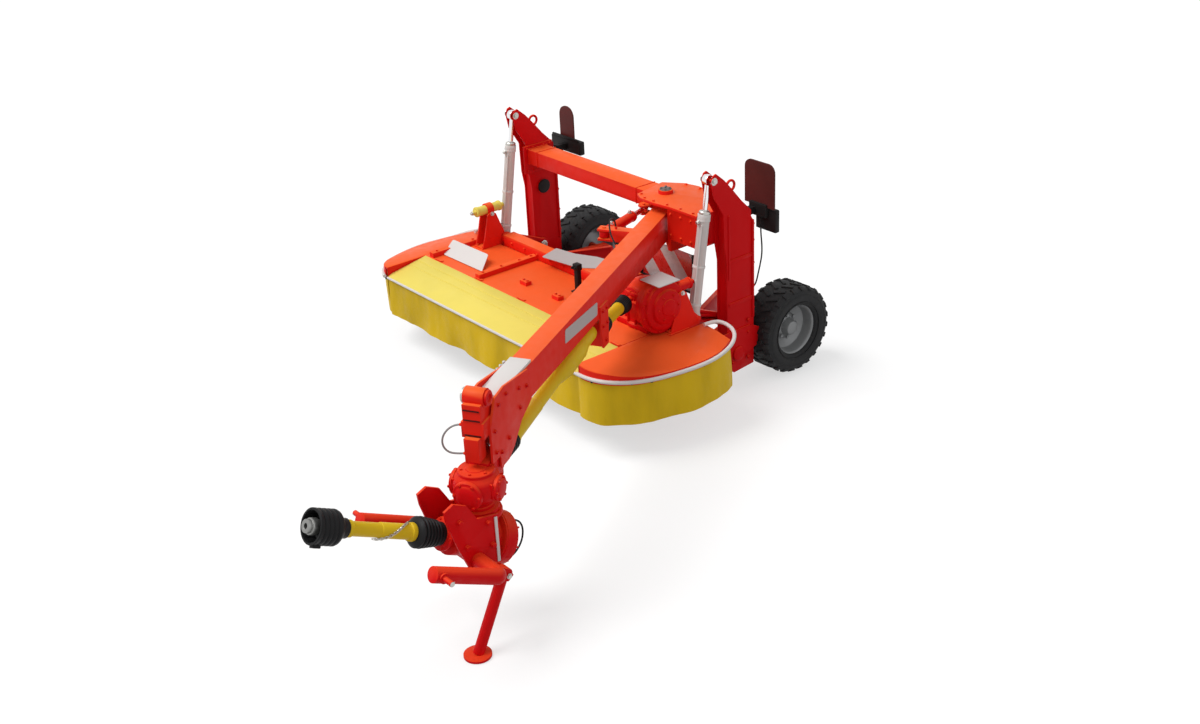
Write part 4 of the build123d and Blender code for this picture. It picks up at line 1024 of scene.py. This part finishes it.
left_edge = [(1.250, -2.196), (1.410, -2.196), (1.606, -2.070), (1.726, -1.872), (1.784, -1.612),
             (1.804, -1.369)]
left_loop = [(1.796, -1.200, 0.688), (1.752, -1.040, 0.716), (1.650, -0.930, 0.748), (1.500, -0.905, 0.764),
             (1.430, -0.965, 0.766), (1.424, -1.050, 0.762)]
bent_tube("rail_left", pushed(left_edge, left_loop, (1.300, -1.500)), RAIL_RADIUS, "mower")
right_edge = [(-1.510, -2.200), (-1.630, -2.160), (-1.780, -1.965), (-1.880, -1.714), (-1.895, -1.479),
              (-1.856, -1.262)]
right_loop = [(-1.800, -1.120, 0.702), (-1.700, -1.050, 0.732), (-1.640, -1.080, 0.762),
              (-1.630, -1.140, 0.762)]
bent_tube("rail_right", pushed(right_edge, right_loop, (-1.400, -1.560)), RAIL_RADIUS, "cover_right")
front_rail = [spot(x, -2.197, 0.656) for x in (-1.498, -1.3, -0.8, -0.2, 0.4, 0.9, 1.228)]
bent_tube("rail_front", front_rail, FRONT_RAIL_RADIUS, "front_cover")

# %% Clamp bolts under the rails
CLAMP_PITCH, CLAMP_Z = 0.16, 0.6505
SUNK = 0.006
FRONT_BOLTS = 18


def along_edge(edge, pitch, shift):
    """Points and outward directions evenly along an outline."""
    run = 0.0
    places = []
    for (x0, y0), (x1, y1) in zip(edge, edge[1:]):
        step = Vector((x1 - x0, y1 - y0, 0))
        out = Vector((step.y, -step.x, 0)).normalized()
        while run < step.length:
            places.append((spot(x0, y0, 0) + step.normalized() * run + out * shift, out))
            run += pitch
        run -= step.length
    return places


for word, edge, body, hand in (("left", left_edge, "mower", 1), ("right", right_edge, "cover_right", -1)):
    places = [(p - out * SUNK + UP * CLAMP_Z, out * hand)
              for p, out in along_edge(edge, CLAMP_PITCH, -SUNK * hand)]
    bolts("clamp_bolts_" + word, places, body, 0.018, 0.010, black_part)
places = [(spot(-1.44 + 0.155 * n, -2.1885, 0.649), -REAR) for n in range(FRONT_BOLTS)]
bolts("clamp_bolts_front", places, "front_cover", 0.012, 0.006, black_part)

# %% [markdown]
# ## On top of the mower
# Bolts hold the rails of the deck and the carrier tube, and a bare plate leans on the deck. Behind it
# lies a pale tray for hoses, and a black post with two hose ends stands beside the tray. The front
# cover has hinges along its rear edge and two pressed seams.

# %% Plate, tray and hose post
TRAY_Z = 0.8505
POST = spot(0.170, -1.320, 0)


def plate(name, corners, thickness, finish, body):
    """A thin bare plate with rounded corners, given by the corners of its underside."""
    bm = bmesh.new()
    face = bm.faces.new([bm.verts.new(spot(*corner)) for corner in corners])
    face.normal_update()
    out = face.normal.copy() if face.normal.z > 0 else -face.normal
    made = bmesh.ops.extrude_face_region(bm, geom=[face])["geom"]
    lifted = [v for v in made if isinstance(v, bmesh.types.BMVert)]
    bmesh.ops.translate(bm, verts=lifted, vec=out * thickness)
    round_corners(bm, [e for e in bm.edges if e.calc_length() < thickness * 1.5], 0.014, 3)
    finish_piece(bm, name, finish, body)


plate("deck_plate", ((-1.390, -1.650, 0.752), (-0.800, -1.640, 0.752), (-0.930, -1.470, 0.826),
                     (-1.470, -1.480, 0.826)), 0.004, white_paint, "mower")
tray = [(x, y, TRAY_Z) for x, y in ((-0.490, -1.200), (-0.060, -1.134), (0.150, -0.960), (0.100, -0.820),
                                    (-0.140, -0.860), (-0.335, -0.950), (-0.560, -0.985))]
plate("hose_tray", tray, 0.004, blank_grey, "mower")
bm = bmesh.new()
# Size, rounding and height of the foot, the post and its head.
for size, round_edge, z in (((0.110, 0.080, 0.010), 0.003, 0.7575), ((0.052, 0.044, 0.240), 0.008, 0.880),
                            ((0.068, 0.058, 0.060), 0.010, 0.985)):
    add_block(bm, size, round_edge, POST + UP * z)
for x in (-0.016, 0.016):
    add(bm, bar(POST + Vector((x, -0.024, 0.985)), POST + Vector((x, -0.052, 0.985)), 0.010))
finish_piece(bm, "hose_post", black_part, "mower")

# %% Bolts of the deck, hinges and seams of the cover
SEAM_SLOPE = radians(9.7)

places = [(spot(x, y, 0.792), UP) for x in (-1.420, -0.700, 0.600) for y in (-1.70, -1.50, -1.30, -1.17)]
places += [(spot(-1.05 + 0.19 * n, -1.121, 0.800), -REAR) for n in range(12)]
places += [(spot(x + dx, -1.530, 0.784), UP) for x in (-1.05, -0.30, 0.15) for dx in (-0.025, 0.025)]
places += [(spot(x + dx, -1.310, 0.762), UP) for x in (-1.290, 1.290) for dx in (-0.040, 0.040)]
bolts("deck_bolts", places, "mower", finish=orange_paint)
bm = bmesh.new()
for n in range(5):
    x = -1.30 + 0.62 * n
    add_block(bm, (0.090, 0.028, 0.006), 0.002, spot(x, -1.751, 0.7515))
    add(bm, bar(spot(x - 0.050, -1.7665, 0.756), spot(x + 0.050, -1.7665, 0.756), 0.006))
finish_piece(bm, "cover_hinges", orange_paint, "mower")
bm = bmesh.new()
for y, z in ((-1.955, 0.7185), (-1.865, 0.7338)):
    tilt = Matrix.Translation(spot(-0.135, y, z)) @ Matrix.Rotation(SEAM_SLOPE, 4, "X")
    add(bm, block((2.670, 0.010, 0.006), 0.002), tilt)
finish_piece(bm, "cover_seams", yellow_sheet, "front_cover")

# %% The striped board and its posts
BOARD = spot(0.628, -0.705, 0.960)
POST_OUT = 0.360

bm = bmesh.new()
add_block(bm, (0.720, 0.010, 0.340), 0.003, BOARD)
finish_piece(bm, "striped_panel", striped_board, "mower", "warning_board")
bm = bmesh.new()
for x in (-POST_OUT, POST_OUT):
    add_block(bm, (0.084, 0.026, 0.352), 0.006, BOARD + Vector((x, -0.006, 0)))
add_block(bm, (0.700, 0.020, 0.018), 0.004, BOARD + Vector((0, -0.005, -0.174)))
finish_piece(bm, "board_edges", guard_black, "mower")

# %% [markdown]
# ## Uprights, beam and cylinders
# Welded plate needs what holds it: bolts with their heads, pins with washers, doubling plates. They
# are small, but they carry the scale of the machine. The lift cylinders get a gland, port stubs and
# bands, and each upright its round black cover.

# %% Details of the two uprights
UPRIGHT_X, UPRIGHT_FACE = 1.300, 1.360
HEAD_Y, HEAD_Z = -0.8431, 1.905
ROUND_COVER = [(0, 0), (0.064, 0), (0.066, 0.004), (0.066, 0.014), (0.060, 0.020), (0.020, 0.026),
               (0, 0.026)]
AXLE_CAP = [(0, 0), (0.060, 0), (0.062, 0.004), (0.062, 0.014), (0.050, 0.020), (0.030, 0.022), (0, 0.024)]
DOUBLER = [(-0.110, -0.215), (0.110, -0.215), (0.118, -0.120), (0.118, 0.120), (0.070, 0.235),
           (-0.060, 0.235), (-0.118, 0.120), (-0.118, -0.120)]
PIN_WASHER = [(0.0155, 0), (0.030, 0), (0.031, 0.003), (0.0155, 0.004)]


def dress_upright(side, word):
    """Cover, doubling plates, bolts and pin nuts of one upright."""
    x, face_x = side * UPRIGHT_X, side * UPRIGHT_FACE
    outwards = LEFT * side
    bm = bmesh.new()
    add(bm, turned(spot(x - side * 0.0725, -0.590, 1.180), -outwards, ROUND_COVER, 40))
    finish_piece(bm, "round_cover_" + word, black_part, "frame")
    bm = bmesh.new()
    add(bm, slab(DOUBLER, 0.010), facing(spot(face_x, -0.575, 0.440), outwards, REAR))
    add(bm, turned(spot(face_x + side * 0.010, -0.600, 0.340), outwards, AXLE_CAP, 40))
    for z in (0.800, 1.180):
        add_block(bm, (0.008, 0.270, 0.030), 0.002, spot(face_x + side * 0.004, -0.562, z))
    add_block(bm, (0.010, 0.018, 0.560), 0.002, spot(face_x + side * 0.004, -0.690, 1.300))
    finish_piece(bm, "doubling_plates_" + word, red_paint, "frame")
    places = [(spot(face_x + side * 0.010, y, z), outwards)
              for y in (-0.665, -0.485) for z in (0.270, 0.500, 0.610)]
    places += [(spot(x + dx, -0.418, z), REAR)
               for z in (0.700, 0.900, 1.100, 1.300, 1.440) for dx in (-0.055, 0.055)]
    places += [(spot(x - side * 0.084, y, z), -outwards)
               for y in (-0.760, -0.690, -0.570, -0.500) for z in (1.365, 1.575)]
    bolts("upright_bolts_" + word, places, "frame", 0.022, 0.012)
    bm = bmesh.new()
    for hand in (-1, 1):
        pin = facing(spot(x + hand * 0.061, HEAD_Y, HEAD_Z), LEFT * hand)
        add(bm, spin_round(PIN_WASHER, 32), pin)
        add(bm, nut(0.036, 0.018), pin)
    add(bm, nut(0.050, 0.022), facing(spot(x - side * 0.118, -0.660, 0.630), -outwards))
    finish_piece(bm, "pin_nuts_" + word, zinc, "frame")


for side, word in SIDES:
    dress_upright(side, word)

# %% Beam: hinge cap, bolts of the hinge plates and bands
CAP_Z, CAP_TOP = 1.627, 1.634
BEAM_LOW, BEAM_HIGH = Vector((0, -0.751, 1.438)), Vector((0, -0.541, 1.571))
BAND_RISE = 0.012

bm = bmesh.new()
cap = [(0, 0), (0.050, 0), (0.050, 0.003), (0.044, 0.007), (0, 0.008)]
add(bm, turned(PIVOT + UP * CAP_Z, UP, cap, 40))
for n in range(4):
    angle = tau / 4 * (n + 0.5)
    on_cap = Vector((0.036 * cos(angle), 0.036 * sin(angle), CAP_TOP))
    add(bm, nut(0.016, 0.008), Matrix.Translation(PIVOT + on_cap))
add(bm, bar(PIVOT + UP * CAP_TOP, PIVOT + UP * 1.652, 0.005))
finish_piece(bm, "hinge_cap", dull_metal, "frame")
on_plate = ((0.500, -0.860), (0.590, -0.905), (0.700, -0.905), (0.850, -0.890), (1.000, -0.880),
            (1.150, -0.880), (1.150, -0.500), (0.950, -0.470), (0.760, -0.440), (0.600, -0.450))
places = [(spot(x, y, 1.595), UP) for x, y in on_plate]
places += [(spot(x, -0.900, z), -REAR) for x in (0.900, 1.020, 1.140) for z in (1.350, 1.530)]
bolts("beam_bolts", places, "frame", 0.018, 0.010, orange_paint)
bm = bmesh.new()
beam_size = BEAM_HIGH - BEAM_LOW
beam_middle = (BEAM_LOW + BEAM_HIGH) / 2
for x, width in ((-1.205, 0.014), (-1.080, 0.006), (0.300, 0.006)):
    size = (width, beam_size.y + BAND_RISE, beam_size.z + BAND_RISE)
    add_block(bm, size, 0.002, spot(x, beam_middle.y, beam_middle.z))
finish_piece(bm, "beam_bands", orange_paint, "frame")

# %% Lift cylinders: glands, ports and bands
LIFT_LEAN = radians(9.1)
LIFT_UP = Vector((0, sin(LIFT_LEAN), cos(LIFT_LEAN)))
LIFT_GLAND = [(0.0245, 0.852), (0.044, 0.852), (0.046, 0.856), (0.046, 0.872), (0.038, 0.880),
              (0.0245, 0.882), (0.0245, 0.852)]


def band(inner, outer, width, lip, low, high):
    """The section of a ring on a tube: it rises to a lip, and then to a flat crown."""
    return [(inner, 0), (outer - lip, low), (outer, high), (outer, width - high),
            (outer - lip, width - low), (inner, width), (inner, 0)]


for side, word in SIDES:
    foot = spot(side * 1.290, -1.022, 0.789)
    bm = bmesh.new()
    add(bm, turned(foot, LIFT_UP, LIFT_GLAND, 40))
    for h in (0.120, 0.800):
        stub = foot + LIFT_UP * h + Vector((0, -0.046, 0))
        add(bm, bar(stub, stub + Vector((0, -0.026, 0.004)), 0.013))
        add(bm, nut(0.026, 0.014), facing(stub + Vector((0, -0.016, 0)), -REAR))
    finish_piece(bm, "lift_gland_" + word, zinc, "mower")
    bm = bmesh.new()
    ring = band(0.0465, 0.0525, 0.024, 0.0015, 0.001, 0.004)
    for h in (0.100, 0.420, 0.806):
        add(bm, turned(foot + LIFT_UP * (h - 0.012), LIFT_UP, ring))
    pipe = foot + Vector((0.030, -0.046, 0))
    add(bm, bar(pipe + LIFT_UP * 0.130, pipe + LIFT_UP * 0.780, 0.006))
    finish_piece(bm, "lift_bands_" + word, white_paint, "mower")

# %% Relief units: bands, nuts and the clamp
RELIEF_X, RELIEF_Z = 1.290, 1.098

for side, word, finish in ((1, "left", red_paint), (-1, "right", yellow_sheet)):
    x = side * RELIEF_X
    bm = bmesh.new()
    for y in (-1.318, -1.190, -1.072):
        ring = band(0.041, 0.0475, 0.024, 0.0015, 0.002, 0.006)
        add(bm, turned(spot(x, y - 0.012, RELIEF_Z), REAR, ring, 40))
    finish_piece(bm, "relief_bands_" + word, finish, "mower")
    bm = bmesh.new()
    for y, way in ((-1.366, -1), (-1.024, 1)):
        add(bm, nut(0.028, 0.016), facing(spot(x, y, RELIEF_Z), REAR * way))
    for hand in (-1, 1):
        add(bm, nut(0.026, 0.014), facing(spot(x + hand * 0.062, -1.190, 1.064), LEFT * hand))
    finish_piece(bm, "relief_nuts_" + word, zinc, "mower")
bm = bmesh.new()
clamp = band(0.046, 0.055, 0.070, 0.001, 0.003, 0.010)
add(bm, turned(spot(-RELIEF_X, -1.225, RELIEF_Z), REAR, clamp, 40))
finish_piece(bm, "relief_clamp", orange_paint, "mower")

# %% [markdown]
# ## Lamps and marker boards
# The far marker is narrow with a round top and stands on a wide black lamp. The near one is a broader
# brown board with its lamp below. Both lamps look to the rear, with an amber and a red glass.

# %% Boards, lamps and their glass
BOARD_THICKNESS = 0.014


def marker_board(name, width, height, corner, foot, node=None):
    """An upright brown board with rounded upper corners, standing on the middle of its foot."""
    half = width / 2
    bm = slab([(-half, 0), (half, 0), (half, height), (-half, height)], BOARD_THICKNESS)
    top = [e for e in bm.edges if abs(e.verts[0].co.z - e.verts[1].co.z) > BOARD_THICKNESS / 2
           and e.verts[0].co.y > height / 2]
    round_corners(bm, top, corner, 6)
    bmesh.ops.rotate(bm, verts=bm.verts, cent=(0, 0, 0), matrix=Matrix.Rotation(radians(90), 3, "X"))
    bmesh.ops.translate(bm, verts=bm.verts, vec=foot)
    finish_piece(bm, name, brown_marker, "frame", node)


def lamp_glasses(word, z, y, radius, amber_x, red_x):
    """The two round glasses on the rear face of a lamp."""
    glass = [(0, 0), (radius, 0), (radius, 0.004), (radius * 0.94, 0.010), (radius * 0.6, 0.015),
             (0, 0.017)]
    for colour, finish, x in (("amber", amber_lens, amber_x), ("red", red_lens, red_x)):
        bm = bmesh.new()
        add(bm, turned(spot(x, y, z), REAR, glass, 40))
        finish_piece(bm, colour + "_glass_" + word, finish, "frame")


marker_board("marker_left", 0.336, 0.372, 0.070, spot(1.288, -0.262, 1.540), "rear_lamp_left")
bm = bmesh.new()
add_block(bm, (0.228, 0.050, 0.196), 0.010, spot(1.345, -0.236, 1.430))
add_block(bm, (0.190, 0.060, 0.110), 0.006, spot(1.285, -0.270, 1.510))
add_block(bm, (0.060, 0.140, 0.060), 0.004, spot(1.235, -0.350, 1.500))
add(bm, bar(spot(1.305, -0.2750, 1.4205), spot(1.3045, -0.2733, 1.466), 0.0105))
for x in (1.150, 1.426):
    add_block(bm, (0.020, 0.008, 0.340), 0.002, spot(x, -0.2585, 1.715))
finish_piece(bm, "lamp_box_left", black_part, "frame")
lamp_glasses("left", 1.430, -0.211, 0.042, 1.290, 1.398)
marker_board("marker_right", 0.200, 0.310, 0.092, spot(-1.235, -0.262, 1.560))
bm = bmesh.new()
add_block(bm, (0.430, 0.060, 0.130), 0.012, spot(-1.235, -0.270, 1.505))
add_block(bm, (0.380, 0.020, 0.020), 0.004, spot(-1.235, -0.296, 1.580))
add_block(bm, (0.060, 0.118, 0.060), 0.004, spot(-1.235, -0.359, 1.500))
finish_piece(bm, "lamp_box_right", black_part, "frame", "rear_lamp_right")
lamp_glasses("right", 1.505, -0.240, 0.046, -1.115, -1.355)

# %% [markdown]
# ## Drawbar
# The beam of the drawbar is plain, but its nose is busy: bolts and round caps hold the fork, the
# hose head has stubs, a pale blank plate lies on the left side, and the white cover is a flat plate
# with rounded edges.

# %% Cover, plate, bolts and hose head
HALF_BAR, FORK_FACE = 0.0775, 0.0935
BAR_TURN = Matrix.Rotation(YAW - pi / 2, 4, "Z")
END_CAP = [(0, 0), (0.050, 0), (0.052, 0.003), (0.052, 0.016), (0.048, 0.020), (0.030, 0.022),
           (0.026, 0.012), (0, 0.012)]


def along_bar(a, s, z):
    """A placement on the drawbar, its X axis running ahead and its Y axis to the left."""
    return Matrix.Translation(on_drawbar(a, s, z)) @ BAR_TURN


bm = bmesh.new()
add(bm, block((0.540, 0.150, 0.022), 0.005), along_bar(DRAWBAR_LENGTH - 0.511, 0, 1.511))
finish_piece(bm, "nose_cover", white_paint, "drawbar", "drawbar_cover")
bm = bmesh.new()
side_plate = slab([(1.870, 1.311), (2.499, 1.365), (2.484, 1.465), (1.858, 1.409)], 0.003)
corners = [e for e in side_plate.edges if abs(e.verts[0].co.z - e.verts[1].co.z) > 0.001]
round_corners(side_plate, corners, 0.014, 3)
stand_up = Matrix((AHEAD, UP, ASIDE)).transposed().to_4x4()
add(bm, side_plate, Matrix.Translation(on_drawbar(0, HALF_BAR + 0.0004, 0)) @ stand_up)
finish_piece(bm, "blank_plate", blank_grey, "drawbar")
# Distance behind the swivel and height of the fork's bolts, then distance along the bar and height.
fork_bolts = ((0.120, 1.180), (0.200, 1.140), (0.320, 1.180), (0.120, 1.330), (0.200, 1.480),
              (0.320, 1.500), (0.520, 1.300), (0.520, 1.440), (0.640, 1.400))
bracket_bolts = ((1.715, 1.190), (1.795, 1.190), (1.715, 1.310), (1.795, 1.310), (1.750, 1.060))
places = []
for s in (-1, 1):
    places += [(on_drawbar(DRAWBAR_LENGTH - back, s * FORK_FACE, z), ASIDE * s) for back, z in fork_bolts]
    places += [(on_drawbar(a, s * FORK_FACE, z), ASIDE * s) for a, z in bracket_bolts]
bolts("drawbar_bolts", places, "drawbar", 0.024, 0.012)
for s, word, finish in ((1, "left", red_paint), (-1, "right", zinc)):
    bm = bmesh.new()
    add(bm, turned(on_drawbar(DRAWBAR_LENGTH - 0.091, s * 0.070, 1.580), ASIDE * s, END_CAP, 36))
    finish_piece(bm, "head_cap_" + word, finish, "drawbar")
bm = bmesh.new()
for n in range(3):
    a = DRAWBAR_LENGTH - 0.205 + 0.055 * n
    for s in (-0.046, 0.046):
        add(bm, bar(on_drawbar(a, s, 1.440), on_drawbar(a, s, 1.486), 0.013))
finish_piece(bm, "hose_stubs", dull_metal, "drawbar")
bm = bmesh.new()
for z in (1.349, 1.455, 1.523):
    add(bm, block((0.006, 0.112, 0.008), 0.001), along_bar(DRAWBAR_LENGTH + 0.002, 0, z))
finish_piece(bm, "head_gaps", dark_slot, "drawbar")

# %% Valve block with its fittings
bm = bmesh.new()
add(bm, block((0.180, 0.070, 0.090), 0.008), along_bar(3.140, -0.116, 1.400))
add(bm, block((0.130, 0.020, 0.012), 0.003), along_bar(3.140, -0.088, 1.400))
finish_piece(bm, "valve_block", black_part, "drawbar")
bm = bmesh.new()
for n in range(3):
    top = on_drawbar(3.085 + 0.055 * n, -0.120, 1.445)
    add(bm, bar(top, top + UP * 0.040, 0.012))
    add(bm, nut(0.024, 0.014), Matrix.Translation(top))
finish_piece(bm, "valve_fittings", zinc, "drawbar")

# %% Gland, ports and bands of the swing cylinder
barrel_eye, rod_eye = on_drawbar(0.623, -0.320, 1.440), spot(0.460, -0.806, 1.440)
cylinder_run = (rod_eye - barrel_eye).normalized()
CYLINDER = (rod_eye - barrel_eye).length
gland = [(radius, CYLINDER - back) for radius, back in (
    (0.0235, 0.190), (0.039, 0.190), (0.041, 0.187), (0.041, 0.176), (0.034, 0.172), (0.0235, 0.171),
    (0.0235, 0.190))]
bm = bmesh.new()
add(bm, turned(barrel_eye, cylinder_run, gland, 36))
for h in (0.110, CYLINDER - 0.230):
    port = barrel_eye + cylinder_run * h + UP * 0.038
    add(bm, bar(port, port + UP * 0.028, 0.012))
    add(bm, nut(0.024, 0.012), Matrix.Translation(port + UP * 0.006))
finish_piece(bm, "swing_gland", zinc, "swing_barrel")
bm = bmesh.new()
for h in (0.084, CYLINDER - 0.214):
    ring = band(0.0415, 0.0465, 0.024, 0.0005, 0.002, 0.005)
    add(bm, turned(barrel_eye + cylinder_run * h, cylinder_run, ring, 40))
finish_piece(bm, "swing_bands", red_paint, "swing_barrel")

# %% Yoke ends and stand head
CROSS_TUBE = Vector((SWIVEL.x, SWIVEL.y - 0.150, 0.575))
STAND_TOP = Vector((SWIVEL.x + 0.313, SWIVEL.y - 0.068, 0.522))
PIN_END = [(0, 0), (0.0165, 0), (0.0165, 0.002), (0.013, 0.006), (0, 0.007)]

bm = bmesh.new()
for side in (-1, 1):
    tip = CROSS_TUBE + LEFT * side * 0.415 + NOSE * 0.495
    split_pin = tip + LEFT * side * 0.126
    add(bm, turned(tip + LEFT * side * 0.138, LEFT * side, PIN_END, 24))
    add(bm, bar(split_pin - REAR * 0.024, split_pin + REAR * 0.024, 0.0035, 12, 0.001))
finish_piece(bm, "pin_ends", zinc, "headstock")
bm = bmesh.new()
for hand in (-1, 1):
    add(bm, nut(0.026, 0.010), facing(STAND_TOP + LEFT * hand * 0.063, LEFT * hand))
finish_piece(bm, "stand_nuts", zinc, "stand")

# %% Chain of the shaft guard
LINKS = 20
CHAIN_RADIUS = 0.0565
LINK_SECTION = [(0.0072, -0.0016), (0.0104, -0.0016), (0.0104, 0.0016), (0.0072, 0.0016), (0.0072, -0.0016)]
guard_place = facing(SHAFT, NOSE)


def chain_point(share):
    """A point of the chain, which winds from under the guard up to its collar."""
    angle = radians(-75 + 175 * share)
    along = 0.500 - 0.236 * share
    return guard_place @ Vector((CHAIN_RADIUS * cos(angle), CHAIN_RADIUS * sin(angle), along))


bm = bmesh.new()
for n in range(LINKS):
    centre = chain_point(n / (LINKS - 1))
    ahead = chain_point((n + 0.1) / (LINKS - 1))
    link = spin_round(LINK_SECTION, 12)
    bmesh.ops.scale(link, vec=(1.0, 1.5, 1.0), verts=link.verts)
    quarter = Matrix.Rotation(radians(90 * (n % 2)), 4, "Z") @ Matrix.Rotation(radians(90), 4, "X")
    add(bm, link, facing(centre, ahead - centre) @ quarter)
finish_piece(bm, "guard_chain", zinc, "headstock")

# %% [markdown]
# ## Under the deck
# Each disc carries four bolts on its cap, and each blade hangs on its own bolt. Every disc has its own
# body, so its bolts are a piece of their own that turns with it.

# %% Disc caps and blade bolts
DISCS = 8
BLADE_BOLT_RADIUS = 0.168

for n in range(1, DISCS + 1):
    disc = "disc_%d" % n
    low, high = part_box(disc)
    centre = middle(disc)
    bm = bmesh.new()
    bolt_ring(bm, (centre.x, centre.y, high.z), UP, 0.042, 4, 0.018, 0.009)
    reach = LEFT if high.x - low.x > high.y - low.y else REAR
    for hand in (-1, 1):
        blade_bolt = Vector((centre.x, centre.y, high.z - 0.034)) + reach * hand * BLADE_BOLT_RADIUS
        add(bm, nut(0.026, 0.012), Matrix.Translation(blade_bolt))
    finish_piece(bm, "disc_bolts_%d" % n, zinc, disc)

# %% [markdown]
# ## Stage
# A pale floor, a pale world and two soft suns, as in a product studio. The suns stand high in front,
# so the tops are brightest and the machine's left side lies in soft shade. A share of the floor's
# colour glows for the camera and for reflections alone: the floor looks white, keeps the machine's
# shadow, and throws no extra light on the machine.

# %% Floor and world
FLOOR_SIZE, FLOOR_Z = 60.0, -0.004
FLOOR_GREY, FLOOR_GLOW = 0.42, 0.60
SKY_LIGHT = 0.46
WHITE = (1.0, 1.0, 1.0, 1.0)


def seen_directly(tree):
    """1 where a ray comes from the camera, a reflection or through glass, otherwise 0."""
    path = tree.nodes.new("ShaderNodeLightPath")
    either = path.outputs["Is Camera Ray"]
    for other in ("Is Glossy Ray", "Is Transmission Ray"):
        largest = tree.nodes.new("ShaderNodeMath")
        largest.operation = "MAXIMUM"
        tree.links.new(either, largest.inputs[0])
        tree.links.new(path.outputs[other], largest.inputs[1])
        either = largest.outputs[0]
    return either


def pale_floor():
    """A large white floor that shows only soft shadows."""
    bm = bmesh.new()
    bmesh.ops.create_grid(bm, x_segments=1, y_segments=1, size=FLOOR_SIZE)
    mesh = bpy.data.meshes.new("floor")
    bm.to_mesh(mesh)
    bm.free()
    floor = bpy.data.objects.new("floor", mesh)
    bpy.context.scene.collection.objects.link(floor)
    floor.location.z = FLOOR_Z
    finish, tree, shader, where = new_finish("pale_floor")
    shader.inputs["Base Color"].default_value = (FLOOR_GREY, FLOOR_GREY, FLOOR_GREY, 1.0)
    shader.inputs["Roughness"].default_value = 1.0
    shader.inputs["Specular IOR Level"].default_value = 0.0
    shader.inputs["Emission Color"].default_value = WHITE
    glow = add_range(tree, seen_directly(tree), 0.0, FLOOR_GLOW, 0.0, 1.0)
    tree.links.new(glow, shader.inputs["Emission Strength"])
    mesh.materials.append(finish)


pale_floor()
world = bpy.data.worlds.new("studio")
bpy.context.scene.world = world
world.use_nodes = True
back = world.node_tree.nodes["Background"]
back.inputs["Color"].default_value = WHITE
sky = add_range(world.node_tree, seen_directly(world.node_tree), SKY_LIGHT, 1.0, 0.0, 1.0)
world.node_tree.links.new(sky, back.inputs["Strength"])


def soft_sun(name, towards, strength, spread):
    """A sun of a given width in degrees, shining from a direction."""
    data = bpy.data.lights.new(name, "SUN")
    data.energy = strength
    data.angle = radians(spread)
    lamp = bpy.data.objects.new(name, data)
    bpy.context.scene.collection.objects.link(lamp)
    lamp.rotation_euler = Vector(towards).to_track_quat("Z", "Y").to_euler()


soft_sun("key", (-0.30, -0.45, 0.86), 2.25, 35)
soft_sun("fill", (0.90, 0.10, 0.45), 0.35, 60)

# %% [markdown]
# ## Camera
# The camera stands where the photographer stood: about 52 degrees round from straight ahead, 26
# degrees up, and held with a slight roll.

# %% The photographer's place
CAMERA_AZIMUTH, CAMERA_ELEVATION, CAMERA_ROLL = radians(51.758), radians(26.011), radians(-2.861)
SENSOR, LENS, CLIP_END = 36.0, 45.09, 200.0
AIM, REACH = spot(-1.6578, 0.3140, -1.1143), 15.8233

camera_data = bpy.data.cameras.new("camera")
camera_data.sensor_width = SENSOR
camera_data.lens = LENS
camera_data.clip_end = CLIP_END
camera = bpy.data.objects.new("camera", camera_data)
bpy.context.scene.collection.objects.link(camera)
back_dir = Vector((sin(CAMERA_AZIMUTH) * cos(CAMERA_ELEVATION),
                   -cos(CAMERA_AZIMUTH) * cos(CAMERA_ELEVATION), sin(CAMERA_ELEVATION)))
right_dir = Vector((0, 0, 1)).cross(back_dir).normalized()
up_dir = back_dir.cross(right_dir)
right_turned = right_dir * cos(CAMERA_ROLL) + up_dir * sin(CAMERA_ROLL)
up_turned = up_dir * cos(CAMERA_ROLL) - right_dir * sin(CAMERA_ROLL)
camera.matrix_world = (Matrix.Translation(AIM + back_dir * REACH)
                       @ Matrix((right_turned, up_turned, back_dir)).transposed().to_4x4())
bpy.context.scene.camera = camera
bpy.context.scene.view_settings.view_transform = "Standard"
